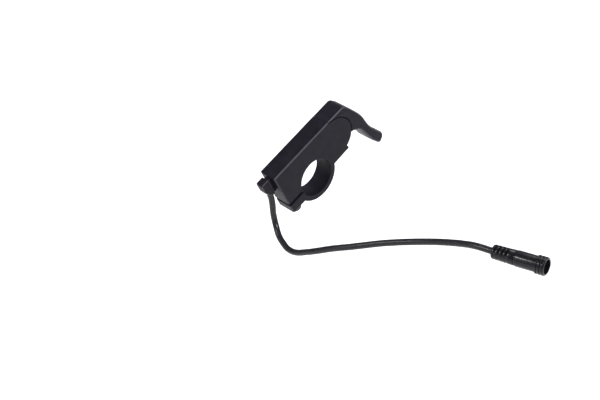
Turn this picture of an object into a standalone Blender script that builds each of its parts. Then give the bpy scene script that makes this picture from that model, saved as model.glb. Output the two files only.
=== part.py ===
"""Thumb lever for a handlebar: clamp housing, sprung paddle, sensor, cable and plug.

Sizes are in millimetres here and become metres as each mesh is made. The origin is the handlebar's
centre in the middle of the housing. +X runs along the bar, +Y towards the rider, +Z is up.

The housing is a flat slab whose thickness lies along the bar. Its side view is drawn in slab
coordinates: s runs along the slab's top line from the nose, and w is the depth below that line.
"""

import math

import bmesh
import bpy
import numpy as np
from mathutils import Matrix, Vector

MM = 0.001
GAP = 0.3
OVERRUN = 1.0
OVERLAP = 0.5

# Handlebar and clamp ring
BAR_DIAMETER = 22.2
BAR_CLEARANCE = 0.1
RING_WALL = 3.4
SPLIT_WIDTH = 2.0

# Housing slab
SLAB_THICKNESS = 11.8
SLAB_SLOPE = math.radians(27.0)
RIM_ROUNDING = 0.7
NOSE_CORNER = 0.8
STOP_CORNER = 0.9
LUG_CORNER = 1.2
RING_SKIN = 0.1
PLATE_THICKNESS = 3.2
FLOOR_THICKNESS = 1.8
NOSE_WALL = 2.8
TOP_WALL = 2.6
NOSE_REACH = 7.8
POCKET_DEPTH = 6.6
POCKET_END_WALL = 1.6
COVER_THICKNESS = 1.6
COVER_MARGIN = 1.2
COVER_CORNER = 0.8
COVER_STOP_CORNER = 0.5
GASKET_THICKNESS = 0.6
GASKET_WIDTH = 1.3

# Pivot, boss and rotor
BOSS_RADIUS = 12.0
BOSS_COVER_DEPTH = 1.2
ROTOR_RADIUS = 9.6
ROTOR_CLEARANCE = 0.6
BORE_WEB = 2.8
SIDE_CLEARANCE = 1.1
PIN_RADIUS = 2.0
PIN_HEAD_RADIUS = 3.5
PIN_HEAD_HEIGHT = 1.1
PIN_BREAK = 0.3
PIN_SKIN = 1.0
BUSHING_WALL = 0.9
WASHER_THICKNESS = 0.5
WASHER_RADIUS = 4.4
BOSS_SKIN = 1.2
SHARP_MARGIN = 0.9

# Paddle
RIM_START = math.radians(117.0)
RIM_END = math.radians(-3.0)
PADDLE_TRAVEL = math.radians(36.0)
STOP_MARGIN = math.radians(3.0)
STOP_DEPTH = 3.2
FACE_STEP = 0.004
PADDLE_HEEL = 12.6
PADDLE_HEEL_ROUNDING = 3.0
BLADE_ANGLE = math.radians(-43.4)
BLADE_LENGTH = 38.2
BLADE_BROW = 17.75
BLADE_BROW_AT = -3.2
BLADE_CROWN = 18.9
BLADE_CROWN_AT = 10.0
BLADE_WAIST = 16.6
BLADE_WAIST_AT = 21.5
BLADE_TIP_CROWN = 18.3
BLADE_TIP_CROWN_BACK = 1.6
BLADE_TIP_CROWN_ROUNDING = 3.5
BLADE_UNDERSIDE = 11.9
BLADE_ROOT_AT = 15.5
BLADE_TIP_UNDERSIDE = 12.2
BLADE_BELLY = 10.9
BLADE_BELLY_AT = 30.0
BLADE_TIP_ROUNDING = 1.6
BLADE_BROW_ROUNDING = 14.0
BLADE_CROWN_ROUNDING = 26.0
BLADE_WAIST_ROUNDING = 25.0
BLADE_BELLY_ROUNDING = 14.0
BLADE_ROOT_ROUNDING = 6.0

# Return spring
SPRING_WIRE = 0.7
SPRING_RADIUS = 6.0
SPRING_SEAT_WIDTH = 2.4
SPRING_TURNS = 3
SPRING_LEG = 2.3
SPRING_ROTOR_SHARE = 0.42
ROTOR_LEG_ANGLE = math.radians(60.0)
HOUSING_LEG_ANGLE = math.radians(200.0)

# Magnets and sensor
MAGNET_RADIUS = 1.5
MAGNET_ORBIT = 7.4
MAGNET_NORTH_ANGLE = math.radians(176.0)
MAGNET_SOUTH_ANGLE = math.radians(213.0)
MAGNET_SHARE = 0.29
BOARD_THICKNESS = 1.0
BOARD_LENGTH = 13.0
SENSOR_LENGTH = 2.4
SENSOR_HEIGHT = 4.0
SENSOR_DEPTH = 2.2
LEAD_PITCH = 1.27
LEAD_WIDTH = 0.4
LEAD_REACH = 2.4
LEAD_ROOT = 0.4
LEAD_LIFT = 0.1
WIRE_RADIUS = 0.45
WIRE_PITCH = 1.5
WIRE_STRAIGHT = 2.0
WIRE_LEAD_IN = 1.0
WIRE_LANDING = 2.5
WIRE_STEP = 1.6

# Fasteners
SCREW_RADIUS = 0.75
SCREW_HEAD_RADIUS = 1.8
SCREW_HEAD_HEIGHT = 0.7
SCREW_LENGTH = 5.0
SCREW_POINT = 0.4
SCREW_HEAD_BREAK = 0.2
CROSS_REACH = 1.1
CROSS_HALF_WIDTH = 0.22
CROSS_DEPTH = 0.45
NOSE_SCREW_INSET = 4.6
NOSE_SCREW_DROP = 2.3
TOP_SCREW_BEYOND = 3.4
TOP_SCREW_DROP = 1.0
LEDGE_SCREW_BEFORE = 5.6
LEDGE_SCREW_RISE = 2.7
BOLT_RADIUS = 2.0
BOLT_HEAD_RADIUS = 3.5
BOLT_HEAD_HEIGHT = 4.0
BOLT_SOCKET_RADIUS = 1.73
BOLT_SOCKET_DEPTH = 2.2
BOLT_POINT = 0.4
BOLT_PAST_NUT = 1.4
BOLT_HEAD_BREAK = 0.3
BOLT_SETBACK = 5.2
NUT_FLATS = 7.0
NUT_THICKNESS = 3.2
NUT_ABOVE_SPLIT = 2.2
LUG_DEPTH = 6.1

# Strain relief and cable
GROMMET_LENGTH = 6.7
GROMMET_WIDTH = 5.0
GROMMET_TOP = 0.5
GROMMET_DEPTH = 11.4
GROMMET_SLANT_LENGTH = 3.0
GROMMET_SLANT_DEPTH = 4.9
GROMMET_OUTER_ROUNDING = 2.5
GROMMET_LOWER_ROUNDING = 2.0
GROMMET_TOP_CORNER = 1.0
GROMMET_FACE_CORNER = 0.5
GROMMET_RIM = 0.35
GROMMET_RECESS = 1.6
GROMMET_RECESS_DEPTH = 0.8
GROMMET_STEM_RISE = 0.3
GROMMET_NECK_HEIGHT = 4.6
GROMMET_NECK_WIDTH = 3.8
GROMMET_FLANGE = 0.8
GROMMET_FLANGE_LIP = 0.8
CABLE_RADIUS = 1.75
CABLE_STEP = 6.0

# Plug
PLUG_LENGTH = 28.0
PLUG_YAW = math.radians(12.0)
PLUG_RISE = math.radians(5.0)
PLUG_TAIL_RADIUS = 3.8
PLUG_BARREL_RADIUS = 4.1
PLUG_COLLAR_RADIUS = 4.7
PLUG_SOCKET_RADIUS = 3.5
PLUG_SOCKET_DEPTH = 14.0
PLUG_INSERT_LENGTH = 7.0
PLUG_PIN_RADIUS = 0.5
PLUG_PIN_LENGTH = 5.0
PLUG_PIN_ORBIT = 1.4
PLUG_SEAL_RADIUS = 0.35
PLUG_MOUTH = 1.45
PLUG_TAIL_TAPER = 0.2
PLUG_TAIL_FLARE = 0.1
PLUG_SHOULDER = 1.0
PLUG_COLLAR_START = 23.0
PLUG_RIBS = 3
PLUG_RIB_PITCH = 1.7
PLUG_RIB_WIDTH = 1.2
PLUG_RIB_SLOPE = 0.1
PLUG_RIB_FOOT = 0.2
PLUG_PIN_SEAT = 2.0
PLUG_PIN_POINT = 0.5
PLUG_SLOT_TURN = math.radians(120.0)
PLUG_SLOT_WIDTH = 1.0
PLUG_SLOT_PITCH = 2.1
PLUG_SLOT_START = 1.8
PLUG_SLOT_DEPTH = 1.0
PLUG_SLOT_HEIGHT = 8.84
PLUG_SLOTS = 4

# The cable's way from the strain relief to the plug: down beside the ring, round in a loop and up
# along the bar. Each point is x, y, z.
CABLE_ROUTE = (
    (0.0, -29.2, 0.3),
    (-0.5, -28.5, -2.1),
    (-0.3, -27.7, -5.2),
    (0.1, -27.4, -9.3),
    (0.5, -27.3, -14.0),
    (1.7, -27.3, -18.6),
    (4.0, -28.0, -22.1),
    (7.3, -29.4, -24.6),
    (11.7, -30.7, -26.1),
    (17.6, -31.8, -27.3),
    (23.9, -31.7, -26.4),
    (30.8, -30.9, -23.0),
    (37.4, -29.8, -19.4),
    (47.0, -27.0, -14.2),
    (55.8, -23.6, -10.3),
    (64.0, -19.8, -6.7),
    (72.0, -15.9, -3.3),
    (81.5, -11.8, 0.3),
    (91.6, -8.3, 4.1),
    (102.1, -5.9, 8.1),
    (112.9, -4.1, 11.9),
    (121.8, -3.1, 14.5),
    (131.3, -1.7, 15.6),
)

# What follows from the sizes above
HALF = SLAB_THICKNESS / 2
BORE_RADIUS = BAR_DIAMETER / 2 + BAR_CLEARANCE
RING_RADIUS = BORE_RADIUS + RING_WALL
BAR_S = NOSE_REACH + RING_RADIUS
BAR_W = TOP_WALL + POCKET_DEPTH + RING_SKIN + RING_RADIUS
ROTOR_CAVITY_RADIUS = ROTOR_RADIUS + ROTOR_CLEARANCE
BOSS_PLUG_RADIUS = ROTOR_CAVITY_RADIUS - GAP
PIVOT_W = BOSS_COVER_DEPTH + BOSS_RADIUS
PIVOT_DISTANCE = BORE_RADIUS + BORE_WEB + ROTOR_CAVITY_RADIUS
PIVOT_S = BAR_S + math.sqrt(PIVOT_DISTANCE**2 - (BAR_W - PIVOT_W) ** 2)
RIM_RADIUS = BOSS_RADIUS + GAP
SHARP_RADIUS = BOSS_RADIUS + SHARP_MARGIN
SEAM_ANGLE = RIM_START + GAP / BOSS_RADIUS
STOP_ANGLE = RIM_END - PADDLE_TRAVEL - STOP_MARGIN
PLATE_INNER = HALF - PLATE_THICKNESS
ROTOR_HALF = PLATE_INNER - SIDE_CLEARANCE
ROTOR_THICKNESS = 2 * ROTOR_HALF
FLOOR_X = HALF - FLOOR_THICKNESS
COVER_INNER = -HALF + COVER_THICKNESS
GASKET_OUTER = COVER_INNER + GAP
LEDGE_X = GASKET_OUTER + GASKET_THICKNESS + GAP
POCKET_TOP = TOP_WALL
POCKET_BOTTOM = TOP_WALL + POCKET_DEPTH
POCKET_END = (
    PIVOT_S
    - math.sqrt(ROTOR_CAVITY_RADIUS**2 - (PIVOT_W - POCKET_BOTTOM) ** 2)
    - POCKET_END_WALL
    - GASKET_WIDTH
    - GAP
)
LEDGE_W = PIVOT_W + (BOSS_RADIUS + STOP_DEPTH) * math.sin(SLAB_SLOPE - STOP_ANGLE) + GAP
SPLIT_TOP = BAR_W - SPLIT_WIDTH / 2
SPLIT_BOTTOM = BAR_W + SPLIT_WIDTH / 2
LUG_BOTTOM = SPLIT_BOTTOM + LUG_DEPTH
NUT_BOTTOM = SPLIT_TOP - NUT_ABOVE_SPLIT
NUT_TOP = NUT_BOTTOM - NUT_THICKNESS - 2 * GAP
BOLT_END = NUT_TOP - BOLT_PAST_NUT
SPRING_SEAT_INNER = SPRING_RADIUS - SPRING_SEAT_WIDTH / 2
SPRING_SEAT_OUTER = SPRING_RADIUS + SPRING_SEAT_WIDTH / 2
ROTOR_SEAT_X = ROTOR_HALF - SPRING_ROTOR_SHARE * ROTOR_THICKNESS
HOUSING_SEAT_X = HALF - BOSS_SKIN
MAGNET_THICKNESS = MAGNET_SHARE * ROTOR_THICKNESS
SCREW_SEAT = -HALF + SCREW_HEAD_HEIGHT + GAP
SCREW_END = -HALF + SCREW_HEAD_HEIGHT + SCREW_LENGTH
COVER_SCREWS = (
    (NOSE_SCREW_INSET, POCKET_BOTTOM + GASKET_WIDTH + NOSE_SCREW_DROP),
    (POCKET_END + GASKET_WIDTH + TOP_SCREW_BEYOND, TOP_WALL + TOP_SCREW_DROP),
    (PIVOT_S - LEDGE_SCREW_BEFORE, LEDGE_W - LEDGE_SCREW_RISE),
)


def slab(s, w):
    """World y and z, in millimetres, of slab coordinates s and w."""
    along = s - BAR_S
    below = w - BAR_W
    cos, sin = math.cos(SLAB_SLOPE), math.sin(SLAB_SLOPE)
    return along * cos + below * sin, along * sin - below * cos


PIVOT_Y, PIVOT_Z = slab(PIVOT_S, PIVOT_W)


def around_pivot(radius, angle):
    """World y and z of a point at this radius and angle about the pivot. Angle 0 points at the rider."""
    return PIVOT_Y + radius * math.cos(angle), PIVOT_Z + radius * math.sin(angle)


def on_blade(along, out):
    """World y and z of a point along the blade from the pivot, and out from that line."""
    cos, sin = math.cos(BLADE_ANGLE), math.sin(BLADE_ANGLE)
    return PIVOT_Y + along * cos - out * sin, PIVOT_Z + along * sin + out * cos


def pivot_arc(radius, start, end, steps):
    """Points on an arc about the pivot, both ends included."""
    return [around_pivot(radius, angle) for angle in np.linspace(start, end, steps + 1)]


def circle(radius, centre, steps=48):
    """Points round a full circle in the plane across the bar."""
    angles = np.linspace(0, 2 * math.pi, steps, endpoint=False)
    return [(centre[0] + radius * math.cos(a), centre[1] + radius * math.sin(a)) for a in angles]


def rounded(corners, steps=5):
    """An outline whose corners, each a point and a radius, become arcs. Radius 0 keeps the point."""
    outline = []
    for i, (point, radius) in enumerate(corners):
        here = Vector(point)
        if not radius:
            outline.append(tuple(here))
            continue
        before = (Vector(corners[i - 1][0]) - here).normalized()
        after = (Vector(corners[(i + 1) % len(corners)][0]) - here).normalized()
        half = before.angle(after) / 2
        centre = here + (before + after).normalized() * (radius / math.sin(half))
        start = here + before * (radius / math.tan(half)) - centre
        end = here + after * (radius / math.tan(half)) - centre
        first = math.atan2(start.y, start.x)
        turn = math.remainder(math.atan2(end.y, end.x) - first, 2 * math.pi)
        for k in range(steps + 1):
            angle = first + turn * k / steps
            outline.append((centre.x + radius * math.cos(angle), centre.y + radius * math.sin(angle)))
    return outline


def add_object(name, mesh):
    """Link a mesh to the scene as an object of this name."""
    obj = bpy.data.objects.new(name, mesh)
    bpy.context.scene.collection.objects.link(obj)
    return obj


def mesh_object(name, bm):
    """Turn a bmesh in millimetres into an object in metres with its faces outwards."""
    bmesh.ops.recalc_face_normals(bm, faces=bm.faces)
    bmesh.ops.scale(bm, vec=(MM, MM, MM), verts=bm.verts)
    mesh = bpy.data.meshes.new(name)
    bm.to_mesh(mesh)
    bm.free()
    return add_object(name, mesh)


def inset_outline(outline, distance, sharp_radius):
    """The outline moved inwards by a distance, apart from edges whose middle is within sharp_radius of
    the pivot, which stay. Each corner goes to where its two moved edges meet."""
    points = np.array(outline)
    ends = np.roll(points, -1, axis=0)
    along = ends - points
    along /= np.linalg.norm(along, axis=1)[:, None]
    area = np.sum(points[:, 0] * ends[:, 1] - ends[:, 0] * points[:, 1])
    inward = np.stack([-along[:, 1], along[:, 0]], axis=1) * np.sign(area)
    reach = np.hypot(*((points + ends) / 2 - (PIVOT_Y, PIVOT_Z)).T)
    moved = np.where(reach > sharp_radius, distance, 0.0)
    shifts = [
        np.linalg.lstsq(inward[[i - 1, i]], moved[[i - 1, i]], rcond=1e-4)[0] for i in range(len(points))
    ]
    return [tuple(point) for point in points + np.array(shifts)]


def prism(name, outline, x_start, x_end, rounding=0.0, sharp_radius=0.0):
    """A solid whose outline lies across the bar. Its two rims are rounded by the given radius, apart from
    edges within sharp_radius of the pivot."""
    sections = [(x_start, outline), (x_end, outline)]
    if rounding:
        rise = rounding * (1 - math.sqrt(0.5))
        inner = inset_outline(outline, rounding, sharp_radius)
        middle = inset_outline(outline, rise, sharp_radius)
        sections = [
            (x_start, inner),
            (x_start + rise, middle),
            (x_start + rounding, outline),
            (x_end - rounding, outline),
            (x_end - rise, middle),
            (x_end, inner),
        ]
    bm = bmesh.new()
    rows = [[bm.verts.new((x, y, z)) for y, z in section] for x, section in sections]
    bm.faces.new(rows[0])
    bm.faces.new(rows[-1])
    for near, far in zip(rows, rows[1:]):
        for i in range(len(outline)):
            j = (i + 1) % len(outline)
            bm.faces.new((near[i], near[j], far[j], far[i]))
    return mesh_object(name, bm)


def slab_box(name, s_range, w_range, x_range, rounding=0.0):
    """A box that is square to the slab."""
    bm = bmesh.new()
    corners = [
        bm.verts.new((x, *slab(s, w))) for x in x_range for w in w_range for s in s_range
    ]
    for quad in ((0, 1, 3, 2), (4, 5, 7, 6), (0, 1, 5, 4), (2, 3, 7, 6), (0, 2, 6, 4), (1, 3, 7, 5)):
        bm.faces.new([corners[k] for k in quad])
    if rounding:
        bmesh.ops.bevel(bm, geom=bm.edges[:], offset=rounding, segments=2, profile=0.5, affect="EDGES")
    return mesh_object(name, bm)


def turned(name, profile, place, steps=32):
    """A solid of revolution about local X. Profile points are along, radius; an end off the axis is capped,
    and a profile that closes on itself makes a ring."""
    bm = bmesh.new()
    closed = profile[0] == profile[-1]
    rings = profile[:-1] if closed else profile
    angles = np.linspace(0, 2 * math.pi, steps, endpoint=False)
    rows = [
        [bm.verts.new((t, r * math.cos(a), r * math.sin(a))) for a in angles] for t, r in rings
    ]
    pairs = list(zip(rows, rows[1:] + rows[:1]))
    if not closed:
        pairs.pop()
        bm.faces.new(rows[0])
        bm.faces.new(rows[-1])
    for near, far in pairs:
        for i in range(steps):
            j = (i + 1) % steps
            bm.faces.new((near[i], near[j], far[j], far[i]))
    bmesh.ops.transform(bm, matrix=place, verts=bm.verts)
    return mesh_object(name, bm)


def along_bar(centre):
    """Placement of a turned piece whose axis runs along the bar through y, z."""
    return Matrix.Translation((0.0, centre[0], centre[1]))


def down_slab(s):
    """Placement of a turned piece whose axis runs down the slab at s, with w as its length."""
    y, z = slab(s, 0.0)
    frame = Matrix(
        (
            (0.0, 1.0, 0.0),
            (math.sin(SLAB_SLOPE), 0.0, math.cos(SLAB_SLOPE)),
            (-math.cos(SLAB_SLOPE), 0.0, math.sin(SLAB_SLOPE)),
        )
    )
    return Matrix.Translation((0.0, y, z)) @ frame.to_4x4()


def combine(target, tool, operation):
    """Apply one exact Boolean to the target and drop the tool."""
    step = target.modifiers.new(operation.title(), "BOOLEAN")
    step.operation = operation
    step.solver = "EXACT"
    step.object = tool
    graph = bpy.context.evaluated_depsgraph_get()
    result = bpy.data.meshes.new_from_object(target.evaluated_get(graph))
    target.modifiers.remove(step)
    old = target.data
    target.data = result
    result.name = target.name
    bpy.data.meshes.remove(old)
    used = tool.data
    bpy.data.objects.remove(tool)
    bpy.data.meshes.remove(used)


def cut(target, tool):
    """Remove the tool's shape from the target."""
    combine(target, tool, "DIFFERENCE")


def join(target, tool):
    """Add the tool's shape to the target."""
    combine(target, tool, "UNION")


def tube(name, points, radius, resolution=2):
    """A round cord through points in millimetres, with filled ends."""
    curve = bpy.data.curves.new(name, "CURVE")
    curve.dimensions = "3D"
    curve.bevel_depth = radius * MM
    curve.bevel_resolution = resolution
    curve.use_fill_caps = True
    spline = curve.splines.new("POLY")
    spline.points.add(len(points) - 1)
    for slot, point in zip(spline.points, points):
        slot.co = (point[0] * MM, point[1] * MM, point[2] * MM, 1.0)
    return add_object(name, curve)


def smooth_path(route, step):
    """Points a step apart on the Catmull-Rom curve through the route."""
    route = np.array(route, float)
    padded = np.vstack([2 * route[0] - route[1], route, 2 * route[-1] - route[-2]])
    fine = []
    for k in range(len(route) - 1):
        a, b, c, d = padded[k : k + 4]
        t = np.linspace(0, 1, 24, endpoint=False)[:, None]
        fine.append(
            0.5 * (2 * b + (c - a) * t + (2 * a - 5 * b + 4 * c - d) * t**2 + (3 * b - a - 3 * c + d) * t**3)
        )
    fine = np.vstack([*fine, route[-1:]])
    length = np.concatenate([[0], np.cumsum(np.linalg.norm(np.diff(fine, axis=0), axis=1))])
    stops = np.linspace(0, length[-1], max(2, round(length[-1] / step) + 1))
    return np.stack([np.interp(stops, length, fine[:, k]) for k in range(3)], axis=1)


def paint(obj, name, colour, roughness, metallic=0.0):
    """Give an object its own Principled material."""
    material = bpy.data.materials.new(name)
    material.use_nodes = True
    shader = material.node_tree.nodes["Principled BSDF"]
    shader.inputs["Base Color"].default_value = (*colour, 1.0)
    shader.inputs["Roughness"].default_value = roughness
    shader.inputs["Metallic"].default_value = metallic
    obj.data.materials.clear()
    obj.data.materials.append(material)


def clear_scene():
    """Remove every object the scene starts with."""
    for obj in list(bpy.data.objects):
        bpy.data.objects.remove(obj)


def rotor_space():
    """Outline of the space cut for the rotor: a disc, and the whole sector that the rim sweeps. The sector
    is a hair wider than the housing's own faces there, so that the two never share a plane."""
    sweep = pivot_arc(BOSS_RADIUS + 2 * STOP_DEPTH, SEAM_ANGLE + FACE_STEP, STOP_ANGLE - FACE_STEP, 40)
    start, end = STOP_ANGLE - FACE_STEP, SEAM_ANGLE + FACE_STEP - 2 * math.pi
    return sweep + pivot_arc(ROTOR_CAVITY_RADIUS, start, end, 40)


def cover_boss():
    """Outline of the cover's boss: full radius where the rim sweeps, smaller where it fills the disc."""
    sweep = pivot_arc(BOSS_RADIUS, RIM_START, STOP_ANGLE + GAP / BOSS_RADIUS, 40)
    return sweep + pivot_arc(BOSS_PLUG_RADIUS, STOP_ANGLE + GAP / BOSS_RADIUS, RIM_START - 2 * math.pi, 40)


def housing_outline():
    """Side view of the housing: top line, boss, stop face, ledge, ring and clamp lugs."""
    boss = pivot_arc(BOSS_RADIUS, SEAM_ANGLE, STOP_ANGLE, 40)
    seam_s = PIVOT_S - PIVOT_W * math.tan(SEAM_ANGLE - SLAB_SLOPE - math.pi / 2)
    stop_tip = around_pivot(BOSS_RADIUS + STOP_DEPTH, STOP_ANGLE)
    ledge_drop = LEDGE_W - BAR_W
    ledge_end = BAR_S + math.sqrt(RING_RADIUS**2 - ledge_drop**2)
    lug_drop = LUG_BOTTOM - BAR_W
    ring_start = math.asin(ledge_drop / RING_RADIUS)
    ring_end = math.pi - math.asin(lug_drop / RING_RADIUS)
    ring = [
        slab(BAR_S + RING_RADIUS * math.cos(a), BAR_W + RING_RADIUS * math.sin(a))
        for a in np.linspace(ring_start, ring_end, 30)
    ]
    corners = [(slab(0, 0), NOSE_CORNER), (slab(seam_s, 0), 0)]
    corners += [(point, 0) for point in boss]
    corners += [(stop_tip, STOP_CORNER), (slab(ledge_end, LEDGE_W), 0)]
    corners += [(point, 0) for point in ring[1:]]
    corners += [(slab(0, LUG_BOTTOM), LUG_CORNER)]
    return rounded(corners)


def beside_stop(radius, inset):
    """World y and z of a point at this reach along the stop face, inset into the housing from it."""
    slope = SLAB_SLOPE - STOP_ANGLE
    s = PIVOT_S + radius * math.cos(slope) - inset * math.sin(slope)
    w = PIVOT_W + radius * math.sin(slope) + inset * math.cos(slope)
    return slab(s, w)


def cover_outline(clearance=0.0):
    """Side view of the cover plate: a margin inside the housing's outline, over pocket and rotor. With a
    clearance it is the outline of the recess that takes the plate."""
    margin = COVER_MARGIN - clearance
    boss_end = STOP_ANGLE + GAP / BOSS_RADIUS
    boss = pivot_arc(BOSS_RADIUS + clearance, SEAM_ANGLE - 3 * clearance / BOSS_RADIUS, boss_end, 40)
    tip = BOSS_RADIUS - COVER_MARGIN + clearance
    arc_radius = RING_RADIUS - COVER_MARGIN - clearance
    low = LEDGE_W - margin
    slope = SLAB_SLOPE - STOP_ANGLE
    low_reach = (low - PIVOT_W - margin * math.cos(slope)) / math.sin(slope)
    nose_low = COVER_SCREWS[0][1] + SCREW_HEAD_RADIUS + COVER_CORNER + clearance
    arc_start = math.asin((low - BAR_W) / arc_radius)
    arc_end = -math.pi - math.asin((nose_low - BAR_W) / arc_radius)
    over_bar = [
        slab(BAR_S + arc_radius * math.cos(a), BAR_W + arc_radius * math.sin(a))
        for a in np.linspace(arc_start, arc_end, 24)
    ]
    corners = [(slab(margin, margin), COVER_CORNER)]
    corners += [(point, 0) for point in boss]
    corners += [(around_pivot(tip, boss_end), 0), (beside_stop(tip, margin), 0)]
    corners += [(beside_stop(low_reach, margin), COVER_STOP_CORNER)]
    corners += [(point, 0) for point in over_bar]
    corners += [(slab(margin, nose_low), COVER_CORNER)]
    return rounded(corners)


def make_housing():
    """The moulded body with its ring, boss, pocket, rotor space, nut trap and holes."""
    housing = prism("housing", housing_outline(), -HALF, HALF, RIM_ROUNDING, SHARP_RADIUS)
    centre = (PIVOT_Y, PIVOT_Z)
    cut(housing, prism("bore", circle(BORE_RADIUS, (0.0, 0.0), 64), -HALF - OVERRUN, HALF + OVERRUN))
    cut(
        housing,
        slab_box(
            "split",
            (-OVERRUN, BAR_S - BORE_RADIUS + OVERRUN),
            (SPLIT_TOP, SPLIT_BOTTOM),
            (-HALF - OVERRUN, HALF + OVERRUN),
        ),
    )
    cut(housing, prism("rotor_space", rotor_space(), -HALF - OVERRUN, PLATE_INNER))
    cut(housing, prism("cover_recess", cover_outline(GAP), -HALF - OVERRUN, GASKET_OUTER))
    groove = GASKET_WIDTH + GAP
    cut(
        housing,
        slab_box(
            "gasket_groove",
            (NOSE_WALL - groove, POCKET_END + groove),
            (POCKET_TOP - groove, POCKET_BOTTOM + groove),
            (GASKET_OUTER - OVERLAP, LEDGE_X),
        ),
    )
    cut(
        housing,
        slab_box(
            "pocket",
            (NOSE_WALL, POCKET_END),
            (POCKET_TOP, POCKET_BOTTOM),
            (LEDGE_X - OVERLAP, FLOOR_X),
        ),
    )
    seat = turned(
        "spring_seat",
        ring_profile(PLATE_INNER - OVERLAP, HOUSING_SEAT_X, SPRING_SEAT_INNER, SPRING_SEAT_OUTER),
        along_bar(centre),
        40,
    )
    cut(housing, seat)
    cut(housing, leg_slot("housing_leg_slot", HOUSING_LEG_ANGLE, PLATE_INNER - OVERLAP, HOUSING_SEAT_X))
    pin_hole = circle(PIN_RADIUS + GAP, centre, 32)
    cut(housing, prism("pin_bore", pin_hole, PLATE_INNER - OVERLAP, HALF - PIN_SKIN))
    neck_middle = POCKET_TOP + POCKET_DEPTH / 2
    cut(
        housing,
        slab_box(
            "neck_hole",
            (-OVERRUN, NOSE_WALL + OVERLAP),
            (
                neck_middle - GROMMET_NECK_HEIGHT / 2 - GAP,
                neck_middle + GROMMET_NECK_HEIGHT / 2 + GAP,
            ),
            (-GROMMET_NECK_WIDTH / 2 - GAP, GROMMET_NECK_WIDTH / 2 + GAP),
        ),
    )
    cut(
        housing,
        slab_box(
            "nut_trap",
            (BOLT_SETBACK - NUT_FLATS / 2 - GAP, BOLT_SETBACK + NUT_FLATS / 2 + GAP),
            (NUT_TOP, NUT_BOTTOM),
            (-HALF - OVERRUN, NUT_FLATS / math.sqrt(3) + GAP),
        ),
    )
    hole = BOLT_RADIUS + GAP
    cut(
        housing,
        turned(
            "bolt_hole",
            [(BOLT_END - GAP, hole), (LUG_BOTTOM + OVERRUN, hole)],
            down_slab(BOLT_SETBACK),
            24,
        ),
    )
    for s, w in COVER_SCREWS:
        pilot = prism("pilot", circle(SCREW_RADIUS + GAP, slab(s, w), 16), -HALF - OVERRUN, SCREW_END + GAP)
        cut(housing, pilot)
    return housing


def ring_profile(start, end, inner, outer):
    """Closed profile of a plain ring."""
    return [(start, inner), (start, outer), (end, outer), (end, inner), (start, inner)]


def leg_slot(name, angle, x_start, x_end):
    """A radial slot that a spring leg lies in, from the spring's seat outwards."""
    half_width = SPRING_WIRE / 2 + GAP
    reach = SPRING_RADIUS + SPRING_LEG + GAP
    side = Vector((-math.sin(angle), math.cos(angle))) * half_width
    inner = Vector(around_pivot(SPRING_RADIUS, angle))
    outer = Vector(around_pivot(reach, angle))
    outline = [tuple(inner - side), tuple(outer - side), tuple(outer + side), tuple(inner + side)]
    return prism(name, outline, x_start, x_end)


def make_cover():
    """The outboard plate with the second pivot boss."""
    cover = prism("housing_cover", cover_outline(), -HALF, COVER_INNER, 0.0)
    join(cover, prism("cover_boss", cover_boss(), COVER_INNER - OVERLAP, -PLATE_INNER))
    centre = (PIVOT_Y, PIVOT_Z)
    cut(cover, prism("pin_hole", circle(PIN_RADIUS + GAP, centre, 32), -HALF - OVERRUN, 0.0))
    head_floor = -HALF + PIN_HEAD_HEIGHT + GAP
    cut(cover, prism("pin_head_seat", circle(PIN_HEAD_RADIUS + GAP, centre, 32), -HALF - OVERRUN, head_floor))
    for s, w in COVER_SCREWS:
        hole = circle(SCREW_RADIUS + GAP, slab(s, w), 16)
        cut(cover, prism("screw_hole", hole, -HALF - OVERRUN, COVER_INNER + OVERRUN))
        seat = circle(SCREW_HEAD_RADIUS + GAP, slab(s, w), 24)
        cut(cover, prism("screw_seat", seat, -HALF - OVERRUN, SCREW_SEAT))
    return cover


def make_gasket():
    """A rectangular frame between cover and housing, round the pocket."""
    width = GASKET_WIDTH
    x_range = (GASKET_OUTER, GASKET_OUTER + GASKET_THICKNESS)
    gasket = slab_box(
        "cover_gasket",
        (NOSE_WALL - width, POCKET_END + width),
        (POCKET_TOP - width, POCKET_BOTTOM + width),
        x_range,
    )
    window = slab_box(
        "window",
        (NOSE_WALL, POCKET_END),
        (POCKET_TOP, POCKET_BOTTOM),
        (x_range[0] - OVERRUN, x_range[1] + OVERRUN),
    )
    cut(gasket, window)
    return gasket


def make_cover_screws():
    """Three wafer-head screws with a cross recess."""
    screws = []
    for number, (s, w) in enumerate(COVER_SCREWS, 1):
        profile = [
            (-HALF, SCREW_HEAD_RADIUS - SCREW_HEAD_BREAK),
            (-HALF + SCREW_HEAD_BREAK, SCREW_HEAD_RADIUS),
            (-HALF + SCREW_HEAD_HEIGHT, SCREW_HEAD_RADIUS),
            (-HALF + SCREW_HEAD_HEIGHT, SCREW_RADIUS),
            (SCREW_END - SCREW_POINT, SCREW_RADIUS),
            (SCREW_END, SCREW_RADIUS / 2),
        ]
        screw = turned(f"cover_screw_{number}", profile, along_bar(slab(s, w)), 20)
        for long, short in ((CROSS_REACH, CROSS_HALF_WIDTH), (CROSS_HALF_WIDTH, CROSS_REACH)):
            depth = (-HALF - OVERRUN, -HALF + CROSS_DEPTH)
            recess = slab_box("recess", (s - long, s + long), (w - short, w + short), depth)
            cut(screw, recess)
        screws.append(screw)
    return screws


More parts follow.
